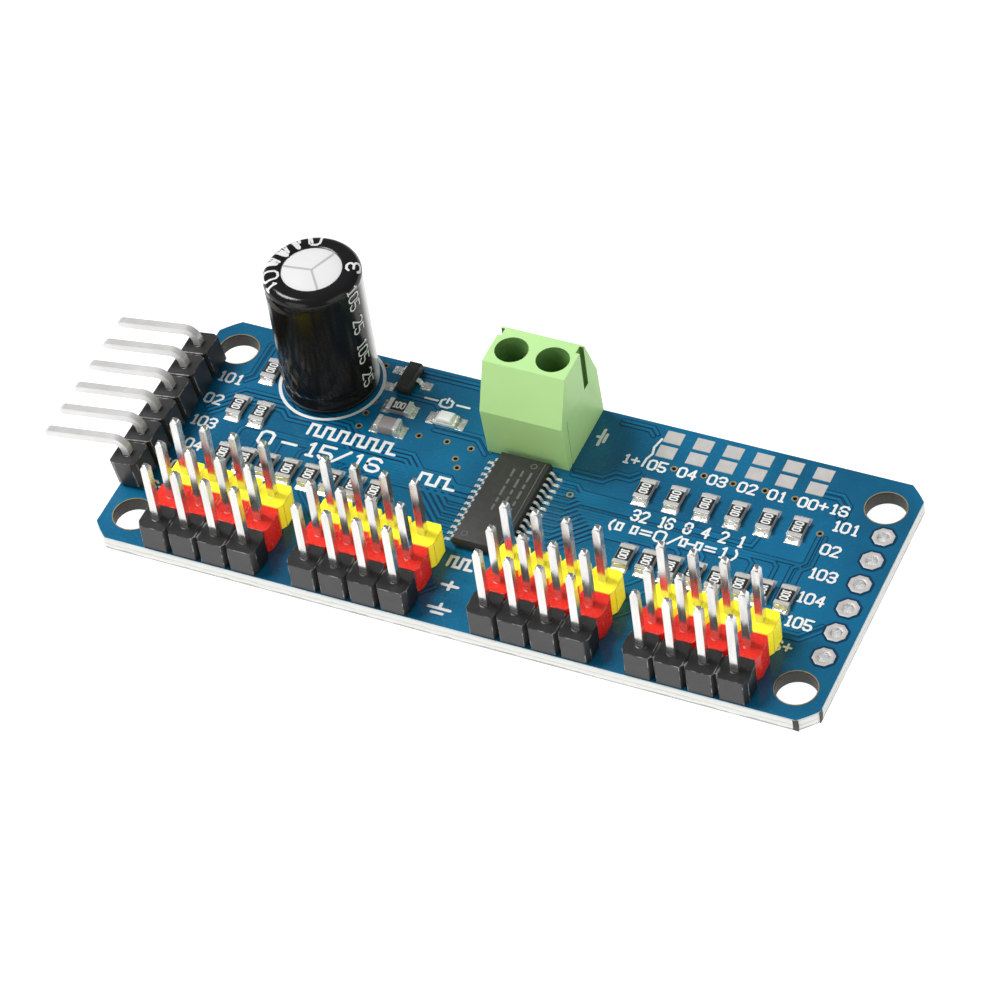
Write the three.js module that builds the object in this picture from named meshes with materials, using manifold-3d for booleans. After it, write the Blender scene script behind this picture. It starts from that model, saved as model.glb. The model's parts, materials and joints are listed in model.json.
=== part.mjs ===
// 16-channel servo driver board: a small printed circuit board that carries a driver chip, a two-way
// screw terminal, an electrolytic capacitor, a bent control header and four blocks of servo headers.
// Millimetres, +Z up. The origin is the centre of the board's underside, +X runs along the long side
// towards the row of empty holes, and +Y runs away from the servo headers.
import * as THREE from 'three';
import { mergeVertices } from 'three/addons/utils/BufferGeometryUtils.js';
import Module from 'manifold-3d';

const wasm = await Module();
wasm.setup();

// ---------- driving dimensions ----------
const BOARD = { length: 61, width: 25, thickness: 1.2, corner: 1.45, cornerPull: 0.45 };
const MOUNTING_HOLE = { radius: 1.6, x: 27.94, y: 9.525, sides: 24 };
const PITCH = 2.54;
const PIN = { side: 0.64, tip: 0.35, tipSide: 0.34 };
const PIN_HOLE = { radius: 0.55, sides: 8 };
const TAIL = 1.2; // how far soldered pins reach below the board
const HOUSING = { height: 2.5, depth: 2.5, notch: 0.32, notchDepth: 0.4 };

const SERVO = {
  groupX: [-24.55, -11.65, 3.5, 16.3], // first pin of each block of four channels
  rowY: -11.15, // the row nearest the edge; the others follow at the pitch
  pinTop: 8.5, // pin tip above the board
  channels: 4,
};
const CONTROL = {
  x: -29.4,
  y: 0.55,
  pins: 6,
  holeSide: 1, // square hole in the housing round each pin
  bendRadius: 0.9,
  riser: 3, // from the underside of the housing to the bend
  lean: 9.6, // degrees that the header leans out over the board's edge
  clearance: 0.01, // between the board and the edge that the header leans on
  reach: 37.1, // how far the tips stand out from the board's centre
};
const BEND_STEPS = 6;
const EMPTY_ROW = { x: 28.8, y: 0.3 };

const TERMINAL = {
  x: -0.45, // centre of the two ways
  pitch: 3.5,
  width: 7,
  // side outline above the board, as depth along Y and height
  outline: [[5.5, 0], [5.15, 4.9], [6.75, 9], [10.65, 9], [12.2, 4.9], [12.5, 0]],
  screwY: 8.5,
  boreRadius: 1.35,
};
const CHAMBER = { width: 2.7, front: 6.75, back: 10.25, floor: 0.7, ceiling: 4.8 };
const WIRE_ENTRY = { width: 2.1, bottom: 1.0, top: 3.3 };
const LEDGE = { thickness: 0.3, holeRadius: 0.9 };
const SCREW = { headRadius: 1.1, headHeight: 1, shankRadius: 0.7, shankLength: 1.7 };
const SCREW_SLOT = { width: 0.35, depth: 0.45 };
const CAGE = { width: 2.4, depth: 2.6, bottom: 0.8, height: 2.9, holeRadius: 0.9 };
const CAGE_WALL = { sides: 0.35, top: 0.7, floor: 0.4 };
const CONTACT = { width: 1.3, thickness: 0.35, top: 2.9, y: 6.95, pinSide: 0.7, holeRadius: 0.65 };
const CONTACT_FIT = { backGap: 0.25, legLift: 0.1, pinOverlap: 0.3 };
const SIDE_SLOT = { y: 10.1, width: 0.75, depth: 0.33, bottom: 5 };
const SEAM = { y: 6.2, width: 0.15, depth: 0.15, top: 4.9 };

const CAPACITOR = { x: -19.05, y: 8.6, radius: 3.95, height: 12.7, leadSpacing: 3.5, leadRadius: 0.3 };
const SLEEVE = { wall: 0.15, shoulder: 0.75, window: 2.45, foot: 3, footChamfer: 0.3 };
const CAN = { gap: 0.1, wall: 0.3, foot: 0.4, lid: 0.4 };
const CORE = { gap: 0.2, headroom: 0.4 };

const CHIP = { x: -0.22, y: 0.1, width: 4.4, length: 9.7, standoff: 0.1, height: 1, pitch: 0.65, leads: 14 };
const LEAD = { width: 0.26, thickness: 0.18, span: 3.2, foot: 0.6, exit: 0.55, slope: 0.15, buried: 0.3 };

const RESISTOR = { length: 2, width: 1.25, height: 0.5, cap: 0.38, capProud: 0.05 };
const FILLET = { length: 0.45, height: 0.34, toe: 0.06 };
const SERIES = { x: [-17.24, 17.36], y: -1.6, pitch: 1.9, count: 8 };
const ADDRESS = { x: 9.62, y: 5.22, pitch: 2.55, count: 6 };
const PULL_UPS = [[-24.14, 8.02], [-25.06, 3.5], [-22.97, 3.4]];
const LED_RESISTOR = { x: -12.5, y: 7.45 };
const CERAMIC = { x: -12.45, y: 5.15, height: 0.85 };
const LED = { x: -8.4, y: 7.4, length: 2, width: 1.25, height: 0.75, base: 0.35, lensLength: 1.4 };
const TRANSISTOR = { x: -12.95, y: 10.45, width: 1.3, length: 2.9, height: 1, standoff: 0.08 };
const TRANSISTOR_LEAD = { width: 0.42, span: 1.45, exit: 0.55, pitch: 0.95 };

const BOARD_TOP = BOARD.thickness;
const OVERLAP = 1; // how far a cut runs past the face that it opens
const ABOVE_ALL = 20; // a height above every part, for cuts that run out of the top
const SIDES = { wire: 8, screw: 16, bore: 24, capacitor: 28 }; // sides that stand for a circle
const SHOULDER_STEPS = 4;

// ---------- materials ----------
function material(color, roughness, metalness = 0) {
  return new THREE.MeshStandardMaterial({ color, roughness, metalness });
}

const SOLDER_MASK = material(0x176a9c, 0.3);
const BLACK_PLASTIC = material(0x24241f, 0.45);
const RED_PLASTIC = material(0xe0281e, 0.4);
const YELLOW_PLASTIC = material(0xfae632, 0.4);
const GREEN_PLASTIC = material(0x8fc46f, 0.5);
const STEEL = material(0xc8c8c4, 0.3, 1);
const TINNED = material(0xd8d6d0, 0.35, 1);
const SLEEVE_FILM = material(0x15151a, 0.2);
const ALUMINIUM = material(0xe0e0e0, 0.35, 0.9);
const RUBBER = material(0x303030, 0.8);
const MOULDING = material(0x343434, 0.6);
const CERAMIC_BROWN = material(0x9a8f88, 0.5);
const LED_WHITE = material(0xf2efe6, 0.4);

// ---------- geometry helpers ----------
function solidOf(geometry) {
  const bare = geometry.clone();
  bare.deleteAttribute('normal');
  bare.deleteAttribute('uv');
  const welded = mergeVertices(bare, 1e-4);
  const corners = welded.index.array;
  const kept = [];
  for (let i = 0; i < corners.length; i += 3) {
    const [a, b, c] = [corners[i], corners[i + 1], corners[i + 2]];
    if (a !== b && b !== c && c !== a) {
      kept.push(a, b, c);
    }
  }
  const vertProperties = new Float32Array(welded.attributes.position.array);
  return new wasm.Manifold(new wasm.Mesh({ numProp: 3, vertProperties, triVerts: new Uint32Array(kept) }));
}

function geometryOf(solid) {
  const mesh = solid.getMesh();
  const geometry = new THREE.BufferGeometry();
  geometry.setAttribute('position', new THREE.BufferAttribute(new Float32Array(mesh.vertProperties), 3));
  geometry.setIndex(new THREE.BufferAttribute(new Uint32Array(mesh.triVerts), 1));
  geometry.computeVertexNormals();
  return geometry;
}

function join(geometries) {
  return geometryOf(geometries.map(solidOf).reduce((whole, piece) => whole.add(piece)));
}

function cut(geometry, tools) {
  return geometryOf(tools.map(solidOf).reduce((whole, tool) => whole.subtract(tool), solidOf(geometry)));
}

// A box between two corners.
function box([x0, y0, z0], [x1, y1, z1]) {
  const geometry = new THREE.BoxGeometry(x1 - x0, y1 - y0, z1 - z0);
  return geometry.translate((x0 + x1) / 2, (y0 + y1) / 2, (z0 + z1) / 2);
}

// A box on a centre line, between two heights.
function post(x, y, width, depth, bottom, top) {
  return box([x - width / 2, y - depth / 2, bottom], [x + width / 2, y + depth / 2, top]);
}

// An outline in X and Y, raised from one height to another.
function prism(outline, bottom, top, holes = []) {
  const shape = new THREE.Shape(outline.map(([x, y]) => new THREE.Vector2(x, y)));
  shape.holes = holes.map((hole) => new THREE.Path(hole.map(([x, y]) => new THREE.Vector2(x, y))));
  const geometry = new THREE.ExtrudeGeometry(shape, { depth: top - bottom, bevelEnabled: false });
  return geometry.translate(0, 0, bottom);
}

// An outline in Y and Z, run along X and centred on x.
function prismAlongX(outline, x, width) {
  return prism(outline, -width / 2, width / 2).applyMatrix4(new THREE.Matrix4().makeBasis(
    new THREE.Vector3(0, 1, 0), new THREE.Vector3(0, 0, 1), new THREE.Vector3(1, 0, 0),
  )).translate(x, 0, 0);
}

// An outline in X and Z, run along Y and centred on y.
function prismAlongY(outline, y, width) {
  return prism(outline, -width / 2, width / 2).rotateX(Math.PI / 2).translate(0, y, 0);
}

// A profile of radius and height, turned about a vertical axis.
function turned(profile, x, y, sides) {
  const points = profile.map(([radius, height]) => new THREE.Vector2(radius, height));
  return new THREE.LatheGeometry(points, sides).rotateX(Math.PI / 2).translate(x, y, 0);
}

function rod(x, y, radius, bottom, top, sides) {
  return turned([[0, bottom], [radius, bottom], [radius, top], [0, top]], x, y, sides);
}

function ring(x, y, radius, sides) {
  return Array.from({ length: sides }, (_, i) => {
    const angle = (2 * Math.PI * (i + 0.5)) / sides;
    return [x + radius * Math.cos(angle), y + radius * Math.sin(angle)];
  });
}

function arc(x, y, radius, from, to, steps) {
  return Array.from({ length: steps + 1 }, (_, i) => {
    const angle = THREE.MathUtils.degToRad(from + ((to - from) * i) / steps);
    return [x + radius * Math.cos(angle), y + radius * Math.sin(angle)];
  });
}

// ---------- the scene ----------
const board = new THREE.Group();

function add(name, geometry, surface) {
  const mesh = new THREE.Mesh(geometry, surface);
  mesh.name = name;
  board.add(mesh);
}

// ---------- circuit board ----------
const controlPinY = (i) => CONTROL.y + PITCH * ((CONTROL.pins - 1) / 2 - i);
const servoPinX = (group, channel) => SERVO.groupX[group] + PITCH * channel;
const servoRowY = (row) => SERVO.rowY + PITCH * row;
const terminalX = (way) => TERMINAL.x + TERMINAL.pitch * (way - 0.5);
const capacitorLeadX = (side) => CAPACITOR.x + (side * CAPACITOR.leadSpacing) / 2;

// One softened corner, from the edge along Y to the edge along X.
function boardCorner(signX, signY) {
  const [x, y, c] = [(signX * BOARD.length) / 2, (signY * BOARD.width) / 2, BOARD.corner];
  const curve = new THREE.QuadraticBezierCurve(
    new THREE.Vector2(x, y - signY * c),
    new THREE.Vector2(x - signX * BOARD.cornerPull * c, y - signY * BOARD.cornerPull * c),
    new THREE.Vector2(x - signX * c, y),
  );
  const points = curve.getPoints(4).map((point) => [point.x, point.y]);
  return signX * signY > 0 ? points : points.reverse();
}

function circuitBoard() {
  const corners = [[1, 1], [-1, 1], [-1, -1], [1, -1]];
  const outline = corners.flatMap(([signX, signY]) => boardCorner(signX, signY));
  const holes = [];
  for (const [signX, signY] of corners) {
    const { x, y, radius, sides } = MOUNTING_HOLE;
    holes.push(ring(signX * x, signY * y, radius, sides));
  }
  for (let i = 0; i < CONTROL.pins; i++) {
    holes.push(ring(CONTROL.x, controlPinY(i), PIN_HOLE.radius, PIN_HOLE.sides));
    holes.push(ring(EMPTY_ROW.x, controlPinY(i) + EMPTY_ROW.y - CONTROL.y, PIN_HOLE.radius, PIN_HOLE.sides));
  }
  for (let group = 0; group < SERVO.groupX.length; group++) {
    for (let channel = 0; channel < SERVO.channels; channel++) {
      for (let row = 0; row < 3; row++) {
        holes.push(ring(servoPinX(group, channel), servoRowY(row), PIN_HOLE.radius, PIN_HOLE.sides));
      }
    }
  }
  for (const way of [0, 1]) {
    holes.push(ring(terminalX(way), CONTACT.y, CONTACT.holeRadius, PIN_HOLE.sides));
  }
  for (const side of [-1, 1]) {
    holes.push(ring(capacitorLeadX(side), CAPACITOR.y, PIN_HOLE.radius, PIN_HOLE.sides));
  }
  return prism(outline, 0, BOARD_TOP, holes);
}

add('circuit_board', circuitBoard(), SOLDER_MASK);

// ---------- pin headers ----------
// Outline of a row of cells, notched on both sides where two cells meet. The row runs along X.
function headerOutline(count) {
  const { notch, notchDepth, depth } = HOUSING;
  const near = [[-PITCH / 2, -depth / 2 + notchDepth]];
  for (let i = 0; i < count; i++) {
    const left = (i - 0.5) * PITCH;
    near.push([left + notch, -depth / 2], [left + PITCH - notch, -depth / 2]);
    near.push([left + PITCH, -depth / 2 + notchDepth]);
  }
  const far = near.map(([x, y]) => [x, -y]).reverse();
  return [...near, ...far];
}

// A square bar with a tapered top, standing on a centre line.
function squarePin(x, y, bottom, top) {
  const [half, tipHalf] = [PIN.side / 2, PIN.tipSide / 2].map((side) => side * Math.SQRT2);
  const profile = [
    [0, bottom], [half, bottom], [half, top - PIN.tip], [tipHalf, top], [0, top],
  ];
  return turned(profile, 0, 0, 4).rotateZ(Math.PI / 4).translate(x, y, 0);
}

function servoHeader(group, row) {
  const body = prism(headerOutline(SERVO.channels), BOARD_TOP, BOARD_TOP + HOUSING.height);
  body.translate(SERVO.groupX[group], servoRowY(row), 0);
  const pins = [];
  for (let channel = 0; channel < SERVO.channels; channel++) {
    pins.push(squarePin(servoPinX(group, channel), servoRowY(row), -TAIL, BOARD_TOP + SERVO.pinTop));
  }
  return join([body, ...pins]);
}

const SERVO_ROWS = [['ground', BLACK_PLASTIC], ['power', RED_PLASTIC], ['signal', YELLOW_PLASTIC]];
for (let group = 0; group < SERVO.groupX.length; group++) {
  SERVO_ROWS.forEach(([rowName, plastic], row) => {
    add(`servo_header_${group + 1}_${rowName}`, servoHeader(group, row), plastic);
  });
}

// The header leans on one lower edge, so the middle of its underside stands clear of the board.
const CONTROL_LEAN = THREE.MathUtils.degToRad(CONTROL.lean);
const CONTROL_FOOT = BOARD_TOP + (HOUSING.depth / 2) * Math.sin(CONTROL_LEAN) + CONTROL.clearance;

function controlHeaderHousing() {
  const body = prism(headerOutline(CONTROL.pins), BOARD_TOP, BOARD_TOP + HOUSING.height);
  body.rotateZ(-Math.PI / 2).translate(CONTROL.x, controlPinY(0), 0);
  const holes = [];
  for (let i = 0; i < CONTROL.pins; i++) {
    holes.push(post(CONTROL.x, controlPinY(i), CONTROL.holeSide, CONTROL.holeSide, 0, ABOVE_ALL));
  }
  const upright = cut(body, holes);
  upright.translate(-CONTROL.x, 0, -BOARD_TOP);
  return upright.rotateY(-CONTROL_LEAN).translate(CONTROL.x, 0, CONTROL_FOOT);
}

// A square pin that leans out of its housing and bends square over the board's edge.
function bentPin(y) {
  const { x, bendRadius, riser, lean, reach } = CONTROL;
  const half = PIN.side / 2;
  const tipHalf = PIN.tipSide / 2;
  const turn = 90 + lean;
  const [sideX, sideZ] = arc(0, 0, 1, lean, lean, 1)[0]; // from the bend's centre towards the riser
  const [outX, outZ] = arc(0, 0, 1, turn, turn, 1)[0]; // from the bend's centre towards the leg's top face
  const centre = [x - riser * sideZ - bendRadius * sideX, CONTROL_FOOT + riser * sideX - bendRadius * sideZ];
  const mitre = half * Math.tan(CONTROL_LEAN / 2);
  const legStart = [centre[0] + bendRadius * outX, centre[1] + bendRadius * outZ];
  const legLength = (legStart[0] + reach) / outZ;
  const alongLeg = (distance, offset) => [
    legStart[0] - outZ * distance + outX * offset,
    legStart[1] + outX * distance + outZ * offset,
  ];
  const outline = [
    [x - half, -TAIL], [x + half, -TAIL], [x + half, CONTROL_FOOT + mitre],
    ...arc(...centre, bendRadius + half, lean, turn, BEND_STEPS),
    alongLeg(legLength - PIN.tip, half), alongLeg(legLength, tipHalf),
    alongLeg(legLength, -tipHalf), alongLeg(legLength - PIN.tip, -half),
    ...arc(...centre, bendRadius - half, turn, lean, BEND_STEPS),
    [x - half, CONTROL_FOOT - mitre],
  ];
  return prismAlongY(outline, y, PIN.side);
}

add('control_header_housing', controlHeaderHousing(), BLACK_PLASTIC);
for (let i = 0; i < CONTROL.pins; i++) {
  add(`control_pin_${i + 1}`, bentPin(controlPinY(i)), TINNED);
}

// ---------- screw terminal ----------
function terminalHousing() {
  const outline = TERMINAL.outline.map(([y, height]) => [y, BOARD_TOP + height]);
  const ceiling = BOARD_TOP + CHAMBER.ceiling;
  const ledgeTop = ceiling + LEDGE.thickness;
  const contactSide = 2 * CONTACT.holeRadius;
  const tools = [];
  for (const way of [0, 1]) {
    const x = terminalX(way);
    const entryHalf = WIRE_ENTRY.width / 2;
    tools.push(rod(x, TERMINAL.screwY, TERMINAL.boreRadius, ledgeTop, ABOVE_ALL, SIDES.bore));
    tools.push(rod(x, TERMINAL.screwY, LEDGE.holeRadius, ceiling - OVERLAP, ledgeTop + OVERLAP, SIDES.screw));
    tools.push(box(
      [x - CHAMBER.width / 2, CHAMBER.front, BOARD_TOP + CHAMBER.floor],
      [x + CHAMBER.width / 2, CHAMBER.back, ceiling],
    ));
    tools.push(box(
      [x - entryHalf, CHAMBER.back - OVERLAP, BOARD_TOP + WIRE_ENTRY.bottom],
      [x + entryHalf, BOARD.width / 2 + OVERLAP, BOARD_TOP + WIRE_ENTRY.top],
    ));
    tools.push(post(x, CONTACT.y, contactSide, contactSide, 0, BOARD_TOP + CHAMBER.floor + OVERLAP));
  }
  for (const side of [-1, 1]) {
    const x = TERMINAL.x + (side * TERMINAL.width) / 2;
    const slotFloor = BOARD_TOP + SIDE_SLOT.bottom;
    tools.push(post(x, SIDE_SLOT.y, 2 * SIDE_SLOT.depth, SIDE_SLOT.width, slotFloor, ABOVE_ALL));
    tools.push(post(x, SEAM.y, 2 * SEAM.depth, SEAM.width, 0, BOARD_TOP + SEAM.top));
  }
  return cut(prismAlongX(outline, TERMINAL.x, TERMINAL.width), tools);
}

// A slotted cheese-head screw that turns in place on the ledge.
function terminalScrew(way) {
  const x = terminalX(way);
  const seat = BOARD_TOP + CHAMBER.ceiling + LEDGE.thickness;
  const crown = seat + SCREW.headHeight;
  const profile = [
    [0, seat - SCREW.shankLength], [SCREW.shankRadius, seat - SCREW.shankLength], [SCREW.shankRadius, seat],
    [SCREW.headRadius, seat], [SCREW.headRadius, crown], [0, crown],
  ];
  const slotLength = 2 * (SCREW.headRadius + OVERLAP);
  const slotFloor = crown - SCREW_SLOT.depth;
  const slot = post(x, TERMINAL.screwY, slotLength, SCREW_SLOT.width, slotFloor, crown + OVERLAP);
  return cut(turned(profile, x, TERMINAL.screwY, SIDES.screw), [slot]);
}

// A square clamp, open to the front and back, that the screw draws up against the contact.
function terminalCage(way) {
  const x = terminalX(way);
  const bottom = BOARD_TOP + CAGE.bottom;
  const top = bottom + CAGE.height;
  const body = post(x, TERMINAL.screwY, CAGE.width, CAGE.depth, bottom, top);
  const openingWidth = CAGE.width - 2 * CAGE_WALL.sides;
  const [sill, lintel] = [bottom + CAGE_WALL.floor, top - CAGE_WALL.top];
  const window = post(x, TERMINAL.screwY, openingWidth, 2 * CAGE.depth, sill, lintel);
  const screwHole = rod(x, TERMINAL.screwY, CAGE.holeRadius, (sill + lintel) / 2, top + OVERLAP, SIDES.screw);
  return cut(body, [window, screwHole]);
}

// A strip that crosses the cage and bends down in front of it into a solder pin.
function terminalContact(way) {
  const x = terminalX(way);
  const top = BOARD_TOP + CONTACT.top;
  const front = CONTACT.y - CONTACT.thickness / 2;
  const half = CONTACT.width / 2;
  const legBottom = BOARD_TOP + CHAMBER.floor + CONTACT_FIT.legLift;
  const back = CHAMBER.back - CONTACT_FIT.backGap;
  const strip = box([x - half, front, top - CONTACT.thickness], [x + half, back, top]);
  const leg = box([x - half, front, legBottom], [x + half, front + CONTACT.thickness, top]);
  const pinTop = legBottom + CONTACT_FIT.pinOverlap;
  const pin = post(x, CONTACT.y, CONTACT.pinSide, CONTACT.thickness, -TAIL, pinTop);
  return join([strip, leg, pin]);
}

add('terminal_housing', terminalHousing(), GREEN_PLASTIC);
['left', 'right'].forEach((side, way) => {
  add(`terminal_screw_${side}`, terminalScrew(way), STEEL);
  add(`terminal_cage_${side}`, terminalCage(way), STEEL);
  add(`terminal_contact_${side}`, terminalContact(way), TINNED);
});

// ---------- electrolytic capacitor ----------
function capacitorSleeve() {
  const { radius, height, x, y } = CAPACITOR;
  const top = BOARD_TOP + height;
  const { wall, shoulder, window, foot, footChamfer } = SLEEVE;
  const shoulderArc = (r) => arc(radius - shoulder, top - shoulder, r, 0, 90, SHOULDER_STEPS);
  const profile = [
    [foot, BOARD_TOP], [radius - footChamfer, BOARD_TOP], [radius, BOARD_TOP + footChamfer],
    ...shoulderArc(shoulder), [window, top],
    [window, top - wall], ...shoulderArc(shoulder - wall).reverse(),
    [radius - wall, BOARD_TOP + wall], [foot, BOARD_TOP + wall], [foot, BOARD_TOP],
  ];
  return turned(profile, x, y, SIDES.capacitor);
}

const canRadius = CAPACITOR.radius - SLEEVE.wall - CAN.gap;
const canTop = BOARD_TOP + CAPACITOR.height - SLEEVE.wall - CAN.gap / 2;

function capacitorCan() {
  const shoulder = SLEEVE.shoulder - SLEEVE.wall;
  const inner = canRadius - CAN.wall;
  const profile = [
    [inner, BOARD_TOP + CAN.foot], [canRadius, BOARD_TOP + CAN.foot],
    ...arc(canRadius - shoulder, canTop - shoulder, shoulder, 0, 90, SHOULDER_STEPS), [0, canTop],
    [0, canTop - CAN.lid], [inner, canTop - CAN.lid], [inner, BOARD_TOP + CAN.foot],
  ];
  return turned(profile, CAPACITOR.x, CAPACITOR.y, SIDES.capacitor);
}

// Rubber seal, wound foil and the two leads.
function capacitorCore() {
  const radius = canRadius - CAN.wall - CORE.gap;
  const bottom = BOARD_TOP + CAN.foot;
  const top = canTop - CAN.lid - CORE.headroom;
  const body = rod(CAPACITOR.x, CAPACITOR.y, radius, bottom, top, SIDES.bore);
  const leads = [-1, 1].map((side) => {
    return rod(capacitorLeadX(side), CAPACITOR.y, CAPACITOR.leadRadius, -TAIL, bottom + OVERLAP, SIDES.wire);
  });
  return join([body, ...leads]);
}

add('capacitor_sleeve', capacitorSleeve(), SLEEVE_FILM);
add('capacitor_can', capacitorCan(), ALUMINIUM);
add('capacitor_core', capacitorCore(), RUBBER);

// ---------- chips and small parts ----------
// One gull-wing lead, from inside the body out and down to the board. The outline is in X and Z.
function gullWing(x, y, side, exitHeight, start, span, width) {
  const t = LEAD.thickness;
  const heel = span - LEAD.foot;
  const knee = heel - LEAD.slope;
  const outline = [
    [start, exitHeight], [knee, exitHeight], [heel, t], [span, t],
    [span, 0], [heel - t, 0], [knee - t / 2, exitHeight - t], [start, exitHeight - t],
  ];
  const placed = outline.map(([along, height]) => [x + side * along, BOARD_TOP + height]);
  return prismAlongY(side < 0 ? placed : placed.reverse(), y, width);
}

function driverChip() {
  const bottom = BOARD_TOP + CHIP.standoff;
  const body = post(CHIP.x, CHIP.y, CHIP.width, CHIP.length, bottom, bottom + CHIP.height);
  const exitHeight = CHIP.standoff + LEAD.exit;
  const leads = [];
  for (let i = 0; i < CHIP.leads; i++) {
    const y = CHIP.y + CHIP.pitch * (i - (CHIP.leads - 1) / 2);
    for (const side of [-1, 1]) {
      leads.push(gullWing(CHIP.x, y, side, exitHeight, CHIP.width / 2 - LEAD.buried, LEAD.span, LEAD.width));
    }
  }
  return join([body, ...leads]);
}

function transistor() {
  const { x, y, width, length, height, standoff } = TRANSISTOR;
  const { span, exit, pitch } = TRANSISTOR_LEAD;
  const body = post(x, y, width, length, BOARD_TOP + standoff, BOARD_TOP + height);
  const start = width / 2 - LEAD.buried;
  const lead = (side, offset) => gullWing(x, y + offset, side, exit, start, span, TRANSISTOR_LEAD.width);
  return join([body, lead(1, 0), lead(-1, pitch), lead(-1, -pitch)]);
}

// A chip part along X: end caps a little proud of the body, with solder running down to the pads.
function chipPart(height) {
  const { length, width, cap, capProud } = RESISTOR;
  const half = length / 2;
  const reach = half + FILLET.length;
  const right = [
    [reach, FILLET.toe], [half, FILLET.height], [half, height + capProud],
    [half - cap, height + capProud], [half - cap, height],
  ];
  const left = right.map(([x, z]) => [-x, z]).reverse();
  const outline = [[-reach, 0], [reach, 0], ...right, ...left];
  return prismAlongY(outline.map(([x, z]) => [x, BOARD_TOP + z]), 0, width);
}

const acrossX = (geometry, x, y) => geometry.translate(x, y, 0);
const acrossY = (geometry, x, y) => geometry.rotateZ(Math.PI / 2).translate(x, y, 0);

function powerLed() {
  const { x, y, length, width, height, base, lensLength } = LED;
  const pcb = post(x, y, length, width, BOARD_TOP, BOARD_TOP + base);
  const lens = post(x, y, lensLength, width, BOARD_TOP + base / 2, BOARD_TOP + height);
  return join([pcb, lens]);
}

add('driver_chip', driverChip(), MOULDING);
add('transistor', transistor(), MOULDING);
add('ceramic_capacitor', acrossX(chipPart(CERAMIC.height), CERAMIC.x, CERAMIC.y), CERAMIC_BROWN);
add('power_led', powerLed(), LED_WHITE);

SERIES.x.forEach((centre, half) => {
  for (let i = 0; i < SERIES.count; i++) {
    const x = centre + SERIES.pitch * (i - (SERIES.count - 1) / 2);
    const number = half * SERIES.count + i + 1;
    add(`series_resistor_${number}`, acrossY(chipPart(RESISTOR.height), x, SERIES.y), MOULDING);
  }
});
for (let i = 0; i < ADDRESS.count; i++) {
  const x = ADDRESS.x + ADDRESS.pitch * i;
  add(`address_resistor_${i + 1}`, acrossY(chipPart(RESISTOR.height), x, ADDRESS.y), MOULDING);
}
PULL_UPS.forEach(([x, y], i) => {
  add(`pull_up_resistor_${i + 1}`, acrossY(chipPart(RESISTOR.height), x, y), MOULDING);
});
add('led_resistor', acrossX(chipPart(RESISTOR.height), LED_RESISTOR.x, LED_RESISTOR.y), MOULDING);

export default board;
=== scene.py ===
import json
import math

import bmesh
import bpy
from mathutils import Matrix, Vector
from mathutils.geometry import tessellate_polygon

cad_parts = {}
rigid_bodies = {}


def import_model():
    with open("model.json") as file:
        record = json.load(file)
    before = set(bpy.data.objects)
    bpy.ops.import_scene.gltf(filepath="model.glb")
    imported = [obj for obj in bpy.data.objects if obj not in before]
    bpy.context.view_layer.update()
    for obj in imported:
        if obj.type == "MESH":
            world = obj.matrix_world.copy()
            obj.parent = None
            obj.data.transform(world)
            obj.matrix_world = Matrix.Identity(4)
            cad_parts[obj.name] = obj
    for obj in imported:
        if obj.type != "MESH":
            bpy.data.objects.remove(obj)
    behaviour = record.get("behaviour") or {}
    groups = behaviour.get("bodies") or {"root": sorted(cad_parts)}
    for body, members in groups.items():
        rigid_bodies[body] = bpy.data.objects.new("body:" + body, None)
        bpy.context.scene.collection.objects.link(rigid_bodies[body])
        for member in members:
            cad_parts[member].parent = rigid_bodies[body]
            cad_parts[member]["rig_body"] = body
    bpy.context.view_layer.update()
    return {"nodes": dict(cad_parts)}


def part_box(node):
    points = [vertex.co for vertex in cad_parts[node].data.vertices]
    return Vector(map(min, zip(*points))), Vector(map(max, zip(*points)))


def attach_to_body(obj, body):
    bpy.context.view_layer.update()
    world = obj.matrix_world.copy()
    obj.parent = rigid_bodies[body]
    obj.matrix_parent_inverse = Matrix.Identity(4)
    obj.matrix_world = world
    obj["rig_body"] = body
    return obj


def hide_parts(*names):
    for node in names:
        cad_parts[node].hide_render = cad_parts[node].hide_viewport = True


# Looks for a servo driver board. Lengths are in millimetres until a mesh is made.
MM = 0.001

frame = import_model()


def box_mm(node):
    lo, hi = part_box(node)
    return lo / MM, hi / MM


def centre_mm(node):
    lo, hi = box_mm(node)
    return (lo + hi) / 2


board_low, board_high = box_mm("circuit_board")
TOP = board_high.z
LENGTH, WIDTH = board_high.x - board_low.x, board_high.y - board_low.y


# ---------- materials ----------
def node_tree(name):
    material = bpy.data.materials.new(name)
    material.use_nodes = True
    tree = material.node_tree
    shader = tree.nodes["Principled BSDF"]
    place = tree.nodes.new("ShaderNodeTexCoord").outputs["Object"]
    return material, tree, shader, place


def add_node(tree, kind, inputs, **settings):
    """Adds a shader node. Each of its inputs is set to a value, or joined to another node's output."""
    node = tree.nodes.new("ShaderNode" + kind)
    for field, value in settings.items():
        setattr(node, field, value)
    for key, value in inputs.items():
        if isinstance(value, bpy.types.NodeSocket):
            tree.links.new(value, node.inputs[key])
        else:
            node.inputs[key].default_value = value
    return node


def noise(tree, place, scale, detail=4.0, stretch=None):
    """Noise over the surface; scale is in features per metre."""
    if stretch:
        place = add_node(tree, "Mapping", {"Scale": stretch, "Vector": place}).outputs["Vector"]
    inputs = {"Scale": scale, "Detail": detail, "Roughness": 0.55, "Vector": place}
    return add_node(tree, "TexNoise", inputs).outputs["Fac"]


def ramp(tree, factor, stops):
    """Blends (position, colour) stops."""
    blend = add_node(tree, "ValToRGB", {"Fac": factor})
    elements = blend.color_ramp.elements
    while len(elements) < len(stops):
        elements.new(0.5)
    for element, (position, colour) in zip(elements, stops):
        element.position = position
        element.color = (*colour, 1)
    return blend.outputs["Color"]


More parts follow.
